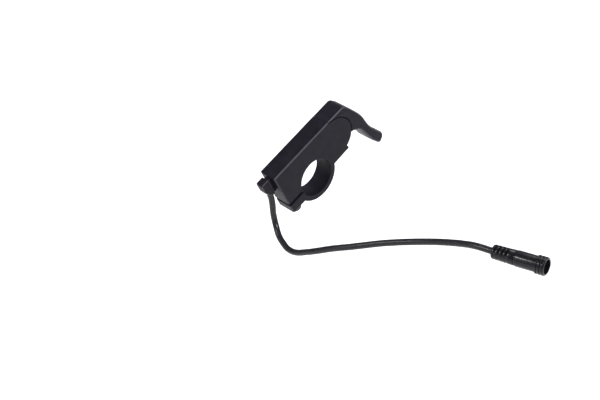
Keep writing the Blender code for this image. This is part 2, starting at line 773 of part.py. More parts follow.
def paddle_outline():
    """Side view of the paddle: rim, heel, blade and rounded tip."""
    corners = [(slab(PIVOT_S, 0), 0), (slab(PIVOT_S + PADDLE_HEEL, 0), PADDLE_HEEL_ROUNDING)]
    corners += [
        (on_blade(BLADE_BROW_AT, BLADE_BROW), BLADE_BROW_ROUNDING),
        (on_blade(BLADE_CROWN_AT, BLADE_CROWN), BLADE_CROWN_ROUNDING),
        (on_blade(BLADE_WAIST_AT, BLADE_WAIST), BLADE_WAIST_ROUNDING),
        (on_blade(BLADE_LENGTH - BLADE_TIP_CROWN_BACK, BLADE_TIP_CROWN), BLADE_TIP_CROWN_ROUNDING),
        (on_blade(BLADE_LENGTH, BLADE_TIP_UNDERSIDE), BLADE_TIP_ROUNDING),
        (on_blade(BLADE_BELLY_AT, BLADE_BELLY), BLADE_BELLY_ROUNDING),
        (on_blade(BLADE_ROOT_AT, BLADE_UNDERSIDE), BLADE_ROOT_ROUNDING),
    ]
    corners += [(point, 0) for point in pivot_arc(RIM_RADIUS, RIM_END, RIM_START, 40)]
    return rounded(corners)


def make_paddle():
    """The thumb lever: a full-width rim and blade, and a rotor disc between the two plates."""
    paddle = prism("paddle", paddle_outline(), -HALF, HALF, RIM_ROUNDING, SHARP_RADIUS)
    rotor = pivot_arc(RIM_RADIUS + OVERLAP, RIM_END, RIM_START, 32)
    rotor += pivot_arc(ROTOR_RADIUS, RIM_START, RIM_END + 2 * math.pi, 40)
    join(paddle, prism("rotor", rotor, -ROTOR_HALF, ROTOR_HALF))
    centre = (PIVOT_Y, PIVOT_Z)
    bore = PIN_RADIUS + BUSHING_WALL + 2 * GAP
    cut(paddle, prism("bushing_bore", circle(bore, centre, 32), -HALF, HALF))
    seat = turned(
        "spring_seat",
        ring_profile(ROTOR_SEAT_X, ROTOR_HALF + OVERLAP, SPRING_SEAT_INNER, SPRING_SEAT_OUTER),
        along_bar(centre),
        40,
    )
    cut(paddle, seat)
    cut(paddle, leg_slot("rotor_leg_slot", ROTOR_LEG_ANGLE, ROTOR_SEAT_X, ROTOR_HALF + OVERLAP))
    for angle in (MAGNET_NORTH_ANGLE, MAGNET_SOUTH_ANGLE):
        pocket = circle(MAGNET_RADIUS + GAP, around_pivot(MAGNET_ORBIT, angle), 24)
        pocket_floor = -ROTOR_HALF + MAGNET_THICKNESS + GAP
        cut(paddle, prism("magnet_pocket", pocket, -ROTOR_HALF - OVERRUN, pocket_floor))
    return paddle


def make_pivot_pieces():
    """Pin, bush, washers and spring on the pivot's axis."""
    centre = along_bar((PIVOT_Y, PIVOT_Z))
    pin = turned(
        "pivot_pin",
        [
            (-HALF, PIN_HEAD_RADIUS - PIN_BREAK),
            (-HALF + PIN_BREAK, PIN_HEAD_RADIUS),
            (-HALF + PIN_HEAD_HEIGHT, PIN_HEAD_RADIUS),
            (-HALF + PIN_HEAD_HEIGHT, PIN_RADIUS),
            (HALF - PIN_SKIN - GAP - PIN_BREAK, PIN_RADIUS),
            (HALF - PIN_SKIN - GAP, PIN_RADIUS - PIN_BREAK),
        ],
        centre,
    )
    inner = PIN_RADIUS + GAP
    bushing = turned(
        "paddle_bushing", ring_profile(-ROTOR_HALF, ROTOR_HALF, inner, inner + BUSHING_WALL), centre
    )
    washers = []
    for name, side in (("pivot_washer_outer", -1), ("pivot_washer_inner", 1)):
        middle = side * (ROTOR_HALF + PLATE_INNER) / 2
        half = WASHER_THICKNESS / 2
        washers.append(turned(name, ring_profile(middle - half, middle + half, inner, WASHER_RADIUS), centre))
    return pin, bushing, washers


def make_spring():
    """A torsion spring: helical turns about the pivot, and a leg out to each side's slot."""
    start_x = ROTOR_SEAT_X + GAP + SPRING_WIRE / 2
    end_x = HOUSING_SEAT_X - GAP - SPRING_WIRE / 2
    sweep = HOUSING_LEG_ANGLE - ROTOR_LEG_ANGLE + 2 * math.pi * SPRING_TURNS
    leg = SPRING_RADIUS + SPRING_LEG - GAP
    points = [(start_x, *around_pivot(leg, ROTOR_LEG_ANGLE))]
    for share in np.linspace(0, 1, 24 * SPRING_TURNS + 10):
        x = start_x + (end_x - start_x) * share
        points.append((x, *around_pivot(SPRING_RADIUS, ROTOR_LEG_ANGLE + sweep * share)))
    points.append((end_x, *around_pivot(leg, HOUSING_LEG_ANGLE)))
    return tube("return_spring", points, SPRING_WIRE / 2, 1)


def make_magnets():
    """Two disc magnets in the rotor's outboard face."""
    magnets = []
    for name, angle in (("magnet_north", MAGNET_NORTH_ANGLE), ("magnet_south", MAGNET_SOUTH_ANGLE)):
        outline = circle(MAGNET_RADIUS, around_pivot(MAGNET_ORBIT, angle), 24)
        magnets.append(prism(name, outline, -ROTOR_HALF, -ROTOR_HALF + MAGNET_THICKNESS))
    return magnets


def make_electronics():
    """Circuit board on the pocket's floor, and the sensor at its rotor end."""
    board_face = FLOOR_X - GAP - BOARD_THICKNESS
    board_end = POCKET_END - GAP - SENSOR_LENGTH - GAP
    board = slab_box(
        "sensor_board",
        (board_end - BOARD_LENGTH, board_end),
        (POCKET_TOP + GAP, POCKET_BOTTOM - GAP),
        (board_face, board_face + BOARD_THICKNESS),
    )
    sensor_x = board_face - GAP
    sensor_s = board_end + GAP
    sensor_w = POCKET_BOTTOM - GAP - SENSOR_HEIGHT
    sensor = slab_box(
        "hall_sensor",
        (sensor_s, sensor_s + SENSOR_LENGTH),
        (sensor_w, sensor_w + SENSOR_HEIGHT),
        (sensor_x - SENSOR_DEPTH, sensor_x),
    )
    for row in (-1, 0, 1):
        middle = sensor_w + SENSOR_HEIGHT / 2 + row * LEAD_PITCH
        lead = slab_box(
            "lead",
            (sensor_s - LEAD_REACH, sensor_s + LEAD_ROOT),
            (middle - LEAD_WIDTH / 2, middle + LEAD_WIDTH / 2),
            (sensor_x - LEAD_WIDTH - LEAD_LIFT, sensor_x - LEAD_LIFT),
        )
        join(sensor, lead)
    return board, sensor, board_face, board_end - BOARD_LENGTH


def make_wires(board_face, board_start):
    """Three cores from the strain relief's flange to the board."""
    wires = []
    start = NOSE_WALL + GAP + GROMMET_FLANGE + GAP
    middle = POCKET_TOP + POCKET_DEPTH / 2
    end_x = board_face - GAP - WIRE_RADIUS
    for row, name in ((-1, "wire_red"), (0, "wire_black"), (1, "wire_green")):
        depth = middle + row * WIRE_PITCH
        route = [
            (0.0, *slab(start, depth)),
            (0.0, *slab(start + WIRE_STRAIGHT, depth)),
            (end_x / 2, *slab((start + board_start) / 2, depth)),
            (end_x, *slab(board_start - WIRE_LEAD_IN, depth)),
            (end_x, *slab(board_start + WIRE_LANDING, depth)),
        ]
        wires.append(tube(name, smooth_path(route, WIRE_STEP), WIRE_RADIUS, 1))
    return wires


def make_grommet():
    """Strain-relief block outside the nose, its neck through the wall and its flange inside."""
    top, bottom = GROMMET_TOP, GROMMET_TOP + GROMMET_DEPTH
    outer_end, inner_end = -GAP - GROMMET_LENGTH, -GAP - GROMMET_RECESS
    outline = rounded(
        [
            (slab(outer_end, top), GROMMET_TOP_CORNER),
            (slab(inner_end, top), GROMMET_FACE_CORNER),
            (slab(inner_end, bottom), GROMMET_FACE_CORNER),
            (slab(outer_end + GROMMET_SLANT_LENGTH, bottom), GROMMET_LOWER_ROUNDING),
            (slab(outer_end, bottom - GROMMET_SLANT_DEPTH), GROMMET_OUTER_ROUNDING),
        ]
    )
    grommet = prism("cable_grommet", outline, -GROMMET_WIDTH / 2, GROMMET_WIDTH / 2, GROMMET_RIM)
    stem_half = GROMMET_WIDTH / 2 - GROMMET_RECESS_DEPTH
    stem = slab_box(
        "stem",
        (inner_end - OVERLAP, -GAP),
        (top + GROMMET_RECESS_DEPTH, bottom - GROMMET_STEM_RISE),
        (-stem_half, stem_half),
    )
    join(grommet, stem)
    middle = POCKET_TOP + POCKET_DEPTH / 2
    neck = slab_box(
        "neck",
        (-GAP - OVERLAP, NOSE_WALL + GAP + OVERLAP),
        (middle - GROMMET_NECK_HEIGHT / 2, middle + GROMMET_NECK_HEIGHT / 2),
        (-GROMMET_NECK_WIDTH / 2, GROMMET_NECK_WIDTH / 2),
    )
    join(grommet, neck)
    flange_half = GROMMET_NECK_WIDTH / 2 + GROMMET_FLANGE_LIP
    flange = slab_box(
        "flange",
        (NOSE_WALL + GAP, NOSE_WALL + GAP + GROMMET_FLANGE),
        (POCKET_TOP + GAP, POCKET_BOTTOM - GAP),
        (-flange_half, flange_half),
    )
    join(grommet, flange)
    start, after = Vector(CABLE_ROUTE[0]), Vector(CABLE_ROUTE[1])
    way = (after - start).normalized()
    facing = way.to_track_quat("X", "Z").to_matrix().to_4x4()
    seat_radius = CABLE_RADIUS + GAP
    seat = turned(
        "cable_seat",
        [(-GAP, seat_radius), (GROMMET_DEPTH, seat_radius)],
        Matrix.Translation(start) @ facing,
    )
    cut(grommet, seat)
    return grommet


def make_pinch_fasteners():
    """Socket-head screw from below through both lugs, and its captive nut."""
    head_top = LUG_BOTTOM + GAP
    head_end = head_top + BOLT_HEAD_HEIGHT
    bolt = turned(
        "pinch_bolt",
        [
            (BOLT_END, BOLT_RADIUS - BOLT_POINT),
            (BOLT_END + BOLT_POINT, BOLT_RADIUS),
            (head_top, BOLT_RADIUS),
            (head_top, BOLT_HEAD_RADIUS),
            (head_end - BOLT_HEAD_BREAK, BOLT_HEAD_RADIUS),
            (head_end, BOLT_HEAD_RADIUS - BOLT_HEAD_BREAK),
        ],
        down_slab(BOLT_SETBACK),
    )
    socket_floor = head_end - BOLT_SOCKET_DEPTH
    socket = turned(
        "socket",
        [(socket_floor, BOLT_SOCKET_RADIUS), (head_end + OVERRUN, BOLT_SOCKET_RADIUS)],
        down_slab(BOLT_SETBACK),
        6,
    )
    cut(bolt, socket)
    nut_top = NUT_TOP + GAP
    nut_bottom = nut_top + NUT_THICKNESS
    corner = NUT_FLATS / math.sqrt(3)
    nut = turned(
        "pinch_nut", [(nut_top, corner), (nut_bottom, corner)], down_slab(BOLT_SETBACK), 6
    )
    hole = BOLT_RADIUS + GAP
    thread_ends = [(nut_top - OVERRUN, hole), (nut_bottom + OVERRUN, hole)]
    thread = turned("thread", thread_ends, down_slab(BOLT_SETBACK), 24)
    cut(nut, thread)
    return bolt, nut


def plug_place():
    """Placement of the plug's axis, from the cable's last point onwards."""
    turn = Matrix.Rotation(PLUG_YAW, 4, "Z") @ Matrix.Rotation(-PLUG_RISE, 4, "Y")
    start = Vector(CABLE_ROUTE[-1])
    axis = turn @ Vector((1.0, 0.0, 0.0))
    return Matrix.Translation(start + axis * GAP) @ turn


def make_plug():
    """Waterproof plug: shell with slotted tail and ribbed collar, insert, pins and ring seal."""
    place = plug_place()
    socket_floor = PLUG_LENGTH - PLUG_SOCKET_DEPTH
    barrel_start = PLUG_SLOT_START + PLUG_SLOTS * PLUG_SLOT_PITCH - PLUG_TAIL_TAPER
    profile = [
        (0.0, CABLE_RADIUS + PLUG_MOUTH),
        (PLUG_SLOT_START - PLUG_SHOULDER, PLUG_TAIL_RADIUS - PLUG_TAIL_TAPER),
        (barrel_start, PLUG_TAIL_RADIUS + PLUG_TAIL_FLARE),
        (barrel_start + PLUG_SHOULDER, PLUG_BARREL_RADIUS),
        (PLUG_COLLAR_START, PLUG_BARREL_RADIUS),
    ]
    foot = PLUG_BARREL_RADIUS + PLUG_RIB_FOOT
    for rib in range(PLUG_RIBS):
        start = PLUG_COLLAR_START + PLUG_RIB_PITCH * rib
        profile.append((start + PLUG_RIB_SLOPE, PLUG_COLLAR_RADIUS))
        profile.append((start + PLUG_RIB_WIDTH - PLUG_RIB_SLOPE, PLUG_COLLAR_RADIUS))
        profile.append((start + PLUG_RIB_WIDTH, foot))
        profile.append((start + PLUG_RIB_PITCH - PLUG_RIB_SLOPE, foot))
    profile[-1] = (PLUG_LENGTH, foot)
    shell = turned("plug_body", profile, place)
    radius = PLUG_SOCKET_RADIUS
    cut(shell, turned("socket", [(socket_floor, radius), (PLUG_LENGTH + OVERRUN, radius)], place))
    turn = Matrix.Rotation(PLUG_SLOT_TURN, 4, "X")
    for slot in range(PLUG_SLOTS):
        along = PLUG_SLOT_START + slot * PLUG_SLOT_PITCH
        for side in (-1, 1):
            bm = bmesh.new()
            bmesh.ops.create_cube(bm, size=1.0)
            size = Matrix.Diagonal((PLUG_SLOT_WIDTH, 2 * PLUG_SLOT_DEPTH, PLUG_SLOT_HEIGHT, 1.0))
            at = Matrix.Translation((along, side * PLUG_TAIL_RADIUS, 0.0))
            bmesh.ops.transform(bm, matrix=place @ turn @ at @ size, verts=bm.verts)
            cut(shell, mesh_object("slot", bm))
    insert_start = socket_floor + GAP
    insert_end = insert_start + PLUG_INSERT_LENGTH
    insert_radius = radius - GAP
    insert = turned("plug_insert", [(insert_start, insert_radius), (insert_end, insert_radius)], place)
    pins = []
    for number in range(3):
        angle = 2 * math.pi * number / 3
        offset = Matrix.Translation((0.0, PLUG_PIN_ORBIT * math.cos(angle), PLUG_PIN_ORBIT * math.sin(angle)))
        hole_floor = insert_end - PLUG_PIN_SEAT
        start = hole_floor + GAP
        end = start + PLUG_PIN_LENGTH
        hole_radius = PLUG_PIN_RADIUS + GAP
        hole = [(hole_floor, hole_radius), (insert_end + OVERRUN, hole_radius)]
        cut(insert, turned("pin_hole", hole, place @ offset, 12))
        point = end - PLUG_PIN_POINT
        shape = [(start, PLUG_PIN_RADIUS), (point, PLUG_PIN_RADIUS), (end, PLUG_PIN_RADIUS / 2)]
        pins.append(turned(f"plug_pin_{number + 1}", shape, place @ offset, 12))
    seal_at = insert_end + GAP + PLUG_SEAL_RADIUS
    orbit = insert_radius - PLUG_SEAL_RADIUS
    seal_profile = [
        (seal_at + PLUG_SEAL_RADIUS * math.cos(a), orbit + PLUG_SEAL_RADIUS * math.sin(a))
        for a in np.linspace(0, 2 * math.pi, 8, endpoint=False)
    ]
    seal = turned("plug_seal", seal_profile + seal_profile[:1], place)
    return shell, insert, pins, seal


def main():
    """Build every piece, paint it, and hang the moving ones on the pivot."""
    clear_scene()
    black = (0.018, 0.018, 0.021)
    housing = make_housing()
    paint(housing, "housing_plastic", black, 0.55)
    cover = make_cover()
    paint(cover, "cover_plastic", black, 0.55)
    paint(make_gasket(), "gasket_rubber", (0.012, 0.012, 0.012), 0.85)
    for number, screw in enumerate(make_cover_screws(), 1):
        paint(screw, f"cover_screw_steel_{number}", (0.10, 0.10, 0.11), 0.35, 1.0)
    paddle = make_paddle()
    paint(paddle, "paddle_plastic", (0.020, 0.019, 0.023), 0.5)
    pin, bushing, washers = make_pivot_pieces()
    paint(pin, "pin_steel", (0.45, 0.45, 0.47), 0.3, 1.0)
    paint(bushing, "bushing_bronze", (0.55, 0.36, 0.18), 0.4, 1.0)
    for washer in washers:
        paint(washer, f"{washer.name}_nylon", (0.75, 0.74, 0.68), 0.6)
    paint(make_spring(), "spring_steel", (0.5, 0.5, 0.52), 0.3, 1.0)
    magnets = make_magnets()
    for magnet in magnets:
        paint(magnet, f"{magnet.name}_metal", (0.6, 0.6, 0.6), 0.25, 1.0)
    board, sensor, board_face, board_start = make_electronics()
    paint(board, "board_laminate", (0.02, 0.12, 0.05), 0.5)
    paint(sensor, "sensor_resin", (0.02, 0.02, 0.02), 0.6)
    colours = ((0.5, 0.02, 0.02), (0.01, 0.01, 0.01), (0.02, 0.3, 0.06))
    for wire, colour in zip(make_wires(board_face, board_start), colours):
        paint(wire, f"{wire.name}_sheath", colour, 0.5)
    paint(make_grommet(), "grommet_rubber", (0.014, 0.014, 0.015), 0.7)
    cable = tube("cable", smooth_path(CABLE_ROUTE, CABLE_STEP), CABLE_RADIUS)
    paint(cable, "cable_sheath", (0.013, 0.013, 0.014), 0.5)
    bolt, nut = make_pinch_fasteners()
    paint(bolt, "bolt_steel", (0.06, 0.06, 0.065), 0.4, 1.0)
    paint(nut, "nut_steel", (0.5, 0.5, 0.52), 0.35, 1.0)
    shell, insert, pins, seal = make_plug()
    paint(shell, "plug_rubber", (0.013, 0.013, 0.014), 0.5)
    paint(insert, "plug_core", (0.02, 0.02, 0.02), 0.5)
    for pin_piece in pins:
        paint(pin_piece, f"{pin_piece.name}_brass", (0.75, 0.55, 0.25), 0.3, 1.0)
    paint(seal, "seal_rubber", (0.55, 0.06, 0.03), 0.6)

    pivot = bpy.data.objects.new("paddle_pivot", None)
    bpy.context.scene.collection.objects.link(pivot)
    pivot.location = Vector((0.0, PIVOT_Y, PIVOT_Z)) * MM
    for piece in (paddle, bushing, *magnets):
        piece.parent = pivot
        piece.matrix_parent_inverse = Matrix.Translation(-pivot.location)
    for mesh in bpy.data.meshes:
        mesh.shade_smooth()
        mesh.set_sharp_from_angle(angle=math.radians(30.0))


main()
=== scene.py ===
"""Looks of a handlebar thumb lever: mouldings, strain relief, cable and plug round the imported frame.

Lengths named here are millimetres and become metres as each mesh is made. The origin is the
handlebar's centre, +X runs along the bar, +Y towards the rider, +Z is up.
"""

import math

import bmesh
import bpy
import numpy as np
from mathutils import Matrix, Vector


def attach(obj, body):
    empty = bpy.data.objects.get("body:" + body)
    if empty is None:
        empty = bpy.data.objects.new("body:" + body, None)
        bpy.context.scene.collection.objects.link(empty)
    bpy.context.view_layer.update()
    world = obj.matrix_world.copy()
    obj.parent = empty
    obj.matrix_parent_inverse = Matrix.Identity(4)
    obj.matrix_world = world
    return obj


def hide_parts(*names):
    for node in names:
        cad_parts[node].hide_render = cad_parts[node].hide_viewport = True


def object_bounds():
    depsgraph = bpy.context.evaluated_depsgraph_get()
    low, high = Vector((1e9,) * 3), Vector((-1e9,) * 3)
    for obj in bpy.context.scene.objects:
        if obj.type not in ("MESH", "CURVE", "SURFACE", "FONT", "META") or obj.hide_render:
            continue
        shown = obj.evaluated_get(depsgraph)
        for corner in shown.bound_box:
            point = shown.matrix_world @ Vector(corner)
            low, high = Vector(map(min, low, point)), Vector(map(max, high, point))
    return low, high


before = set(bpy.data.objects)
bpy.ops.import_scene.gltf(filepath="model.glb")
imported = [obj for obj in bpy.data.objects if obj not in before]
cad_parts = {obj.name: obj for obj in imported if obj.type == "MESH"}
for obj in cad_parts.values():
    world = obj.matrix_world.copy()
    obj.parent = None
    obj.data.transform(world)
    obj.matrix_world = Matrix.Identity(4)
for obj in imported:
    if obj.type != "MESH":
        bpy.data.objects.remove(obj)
cad_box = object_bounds()

MM = 0.001

# Slab of the housing: its slope, and where the bar's centre lies in slab coordinates s and w
SLAB_SLOPE = math.radians(27.0)
BAR_S = 22.4
BAR_W = 23.9

# Cable
CABLE_RADIUS = 1.75
CABLE_ROUTE = (
    (0.0, -29.2, 0.3),
    (-0.5, -28.5, -2.1),
    (-0.3, -27.7, -5.2),
    (0.1, -27.4, -9.3),
    (0.5, -27.3, -14.0),
    (1.7, -27.3, -18.6),
    (4.0, -28.0, -22.1),
    (7.3, -29.4, -24.6),
    (11.7, -30.7, -26.1),
    (17.6, -31.8, -27.3),
    (23.9, -31.7, -26.4),
    (30.8, -30.9, -23.0),
    (37.4, -29.8, -19.4),
    (47.0, -27.0, -14.2),
    (55.8, -23.6, -10.3),
    (64.0, -19.8, -6.7),
    (72.0, -15.9, -3.3),
    (81.5, -11.8, 0.3),
    (91.6, -8.3, 4.1),
    (102.1, -5.9, 8.1),
    (112.9, -4.1, 11.9),
    (121.8, -3.1, 14.5),
    (131.3, -1.7, 15.6),
)
CABLE_TUCK = 0.9
CABLE_STEP = 0.9
CABLE_COLUMNS = 24

# Plug, measured along its own axis from the cable's end
PLUG_GAP = 0.3
PLUG_YAW = math.radians(12.0)
PLUG_RISE = math.radians(5.0)
PLUG_LENGTH = 28.0
PLUG_TAIL_RADIUS = 3.8
PLUG_BARREL_RADIUS = 4.1
PLUG_COLLAR_RADIUS = 4.7
PLUG_SOCKET_RADIUS = 3.5
PLUG_SOCKET_DEPTH = 14.0
PLUG_SLOT_TURN = math.radians(120.0)
PLUG_SLOT_STARTS = (1.3, 3.4, 5.5, 7.6)
PLUG_SLOT_WIDTH = 1.0
PLUG_SLOT_FLAT = 2.8
PLUG_MOUTH = 1.45
PLUG_GROOVE = 0.26
PLUG_RIB_STARTS = (23.0, 24.7, 26.4)
PLUG_RIB_FOOT = 0.2
PLUG_COLUMNS = 72

# Strain-relief block outside the nose: its ends along s, its sides, and its corners in the side view
GROMMET_START = -7.0
GROMMET_END = -1.9
GROMMET_HALF_WIDTH = 2.5
GROMMET_TOP = 0.5
GROMMET_BOTTOM = 11.9
GROMMET_SLANT = (3.0, 4.9)
GROMMET_ROUNDINGS = (0.5, 0.5, 2.0, 2.5, 1.0)
GROMMET_RIM = 0.45
GROMMET_NECK_STEP = 0.8
GROMMET_NECK_RISE = 0.3
GROMMET_NECK_TUCK = 0.5
GROMMET_NECK_END = -0.05
GROMMET_NECK_CORNER = 0.4
GROMMET_STEP = 0.5
WALL_NECK = (5.9, 2.3, 1.9)
WALL_FLANGE = (5.9, 3.0, 2.7)
WALL_FLANGE_START = 3.1
WALL_FLANGE_END = 3.9

# Pivot, rotor and paddle
HALF = 5.9
PIVOT_S = 44.106
PIVOT_W = 13.2
RIM_START = math.radians(117.0)
RIM_END = math.radians(-3.0)
ROTOR_HALF = 1.6
ROTOR_RADIUS = 9.6
ROTOR_BORE = 3.5
ROTOR_SEAT_X = 0.256
ROTOR_SEAT = (4.8, 7.2)
ROTOR_EDGE = 0.15
ROTOR_RIM_STEPS, ROTOR_DISC_STEPS = 60, 110
PADDLE_HEEL = 12.6
PADDLE_HEEL_ROUNDING = 3.0
BLADE_ANGLE = math.radians(-43.4)
# Corners of the blade's side view: along the blade, out from its line, rounding
BLADE_CORNERS = (
    (-3.2, 17.75, 14.0),
    (10.0, 18.9, 26.0),
    (21.5, 16.6, 25.0),
    (36.6, 18.3, 3.5),
    (38.2, 12.2, 1.6),
    (30.0, 10.9, 14.0),
    (15.5, 11.9, 6.0),
)
RIM_ROLL = 0.9
BLADE_ROLL = 1.35
BLADE_ROLL_FROM = 0.0
BLADE_ROLL_FULL = 14.0
# The seam in the band is drawn a little closer than it is made, and the groove round the boss wider
SEAM_ROLL = 0.04
SEAM_CLOSE = 0.22
ARC_ROLL = 0.25
ARC_ROLL_REACH = 13.2
ARC_RADIUS = 12.5
ARC_OVERLAP = 0.3
# No painted highlight on rims within this radius of the pivot
PAINTED_HIGHLIGHT_FROM = 12.9
PADDLE_STEP = 0.8


def slab(s, w):
    """World y and z of slab coordinates: s along the top line from the nose, w the depth below it."""
    along, below = s - BAR_S, w - BAR_W
    cos, sin = math.cos(SLAB_SLOPE), math.sin(SLAB_SLOPE)
    return along * cos + below * sin, along * sin - below * cos


# ---------------------------------------------------------------- shader expressions


class Signal:
    """A socket in a material's tree. Operators on it add Math nodes, and node() adds any other node: its
    type, its settings, which are set first, and its sockets."""

    def __init__(self, tree, socket):
        self.tree = tree
        self.socket = socket

    def node(self, kind, sockets=None, output=0, **settings):
        """The output of a new node. Sockets go by name or number, and take numbers or Signals."""
        made = self.tree.nodes.new("ShaderNode" + kind)
        for name, value in settings.items():
            setattr(made, name, value)
        for name, value in (sockets or {}).items():
            if isinstance(value, Signal):
                self.tree.links.new(value.socket, made.inputs[name])
            else:
                made.inputs[name].default_value = value
        return Signal(self.tree, made.outputs[output])

    def math(self, operation, *values):
        """A Math node on these values."""
        return self.node("Math", dict(enumerate(values)), operation=operation)

    def __add__(self, other):
        return self.math("ADD", self, other)

    __radd__ = __add__

    def __sub__(self, other):
        return self.math("SUBTRACT", self, other)

    def __mul__(self, other):
        return self.math("MULTIPLY", self, other)

    __rmul__ = __mul__

    def above(self, edge, softness):
        """0 under the edge and 1 over it, with a smooth step this wide between."""
        sockets = {"Value": self, "From Min": edge - softness, "From Max": edge + softness}
        return self.node("MapRange", sockets, interpolation_type="SMOOTHSTEP")

    def noise(self, size_mm, detail=2.0, roughness=0.5):
        """Noise on this vector, in metres, with features about this many millimetres across."""
        sockets = {"Vector": self, "Scale": 1.0 / (size_mm * MM), "Detail": detail, "Roughness": roughness}
        return self.node("TexNoise", sockets)

    def stretched(self, x, y, z):
        """This vector times x, y and z."""
        sockets = {"Vector": self, "Scale": (x, y, z)}
        return self.node("Mapping", sockets, vector_type="POINT")

    def between(self, first, second):
        """A colour that goes from the first to the second as this value goes from 0 to 1."""
        sockets = {0: self, 6: (*first, 1.0), 7: (*second, 1.0)}
        return self.node("Mix", sockets, output=2, data_type="RGBA")


def new_material(name):
    """A material, its Principled shader, and the piece's Object coordinates as a Signal."""
    made = bpy.data.materials.new(name)
    made.use_nodes = True
    tree = made.node_tree
    place = Signal(tree, tree.nodes.new("ShaderNodeTexCoord").outputs["Object"])
    return made, tree.nodes["Principled BSDF"], place


def wire_in(shader, name, signal):
    """Link a Signal to one of the shader's sockets."""
    signal.tree.links.new(signal.socket, shader.inputs[name])


def relief(shader, height, depth_mm, strength=1.0):
    """Bump the surface by a height Signal that spans this depth."""
    sockets = {"Height": height, "Distance": depth_mm * MM, "Strength": strength}
    wire_in(shader, "Normal", height.node("Bump", sockets))


def moulded_plastic(name, colour, roughness, grain=0.28, depth=0.035, shine=0.06):
    """Spark-textured moulding: fine pits, a slow drift of gloss, faint paler scuffs, and a painted highlight:
    rims painted paler and made smoother, where the piece's own painted highlight attribute is over 0."""
    made, shader, place = new_material(name)
    pits = place.noise(grain, 3.0, 0.6)
    drift = place.noise(6.0, 2.0)
    scuff = place.stretched(1.0, 0.35, 1.0).noise(1.4, 4.0, 0.7).above(0.66, 0.08)
    pale = tuple(min(1.0, c * 1.6 + 0.003) for c in colour)
    dark = tuple(c * 0.82 for c in colour)
    shade = (pits * 0.35 + drift * 0.45 + scuff * 0.3).above(0.45, 0.35)
    # Painted highlight: the rim mask, broken up by the drift, mixes the colour towards a paler highlight
    # colour and lowers the roughness
    painted_highlight_edge = place.node("Attribute", output=2, attribute_name="painted_highlight_edge") * (0.75 + 0.5 * drift)
    painted_highlight_colour = tuple(min(1.0, c * 4.0 + 0.022) for c in colour)
    skin = {0: painted_highlight_edge, 6: shade.between(dark, pale), 7: (*painted_highlight_colour, 1.0)}
    wire_in(shader, "Base Color", place.node("Mix", skin, output=2, data_type="RGBA"))
    uneven = (drift - 0.5) * 0.16 - scuff * 0.05 + (pits - 0.5) * 0.12 - painted_highlight_edge * 0.06
    wire_in(shader, "Roughness", roughness + uneven)
    relief(shader, pits + drift * 0.2, depth, 0.8)
    shader.inputs["Specular IOR Level"].default_value = shine
    return made


def soft_rubber(name, colour, roughness):
    """Moulded rubber: a fine leathery skin with a bloom in patches."""
    made, shader, place = new_material(name)
    skin = place.noise(0.4, 4.0, 0.55)
    bloom = place.noise(3.0, 3.0).above(0.55, 0.15)
    pale = tuple(c * 1.6 + 0.003 for c in colour)
    wire_in(shader, "Base Color", (bloom * 0.6 + skin * 0.3).between(colour, pale))
    wire_in(shader, "Roughness", roughness + bloom * 0.05 + (skin - 0.5) * 0.06)
    shader.inputs["Specular IOR Level"].default_value = 0.22
    relief(shader, skin, 0.02, 0.12)
    return made


def cable_sheath(name, colour, roughness):
    """Drawn sheath: streaks along its length and slow waves of gloss, on the tube's own UV map, in which
    U runs once round and V is the length in metres."""
    made, shader, place = new_material(name)
    layout = place.node("UVMap", uv_map="sheath")
    streak = layout.stretched(0.010, 0.05, 1.0).noise(0.55, 3.0, 0.6)
    wave = layout.stretched(0.004, 1.0, 1.0).noise(5.0, 2.0)
    pale = tuple(c * 1.7 + 0.004 for c in colour)
    wire_in(shader, "Base Color", (streak * 0.5 + wave * 0.4).between(colour, pale))
    wire_in(shader, "Roughness", roughness + (wave - 0.5) * 0.22 + (streak - 0.5) * 0.10)
    relief(shader, streak * 0.6 + wave * 0.4, 0.03, 0.6)
    shader.inputs["Specular IOR Level"].default_value = 0.25
    return made


def turned_metal(name, colour, roughness, ring=0.12):
    """Turned or drawn metal: fine tool lines across the bar's axis, and small stains."""
    made, shader, place = new_material(name)
    lines = place.stretched(1.0, 0.05, 0.05).noise(ring, 2.0, 0.5)
    stain = place.noise(1.6, 4.0, 0.6)
    dull = tuple(c * 0.78 for c in colour)
    wire_in(shader, "Base Color", (stain * 0.7 + lines * 0.3).between(colour, dull))
    wire_in(shader, "Roughness", roughness + (stain - 0.5) * 0.2 + (lines - 0.5) * 0.12)
    relief(shader, lines, 0.008, 0.6)
    shader.inputs["Metallic"].default_value = 1.0
    return made


def board_laminate(name, colour):
    """Lacquered circuit board: paler tracks along it under the mask, with a clear coat."""
    made, shader, place = new_material(name)
    tracks = place.stretched(0.2, 0.3, 1.0).noise(0.7, 1.0).above(0.52, 0.02)
    fine = place.noise(0.25, 2.0)
    pale = tuple(c * 1.7 + 0.01 for c in colour)
    wire_in(shader, "Base Color", tracks.between(colour, pale))
    wire_in(shader, "Roughness", 0.38 + (fine - 0.5) * 0.1)
    relief(shader, tracks, 0.02, 0.6)
    shader.inputs["Coat Weight"].default_value = 0.3
    return made


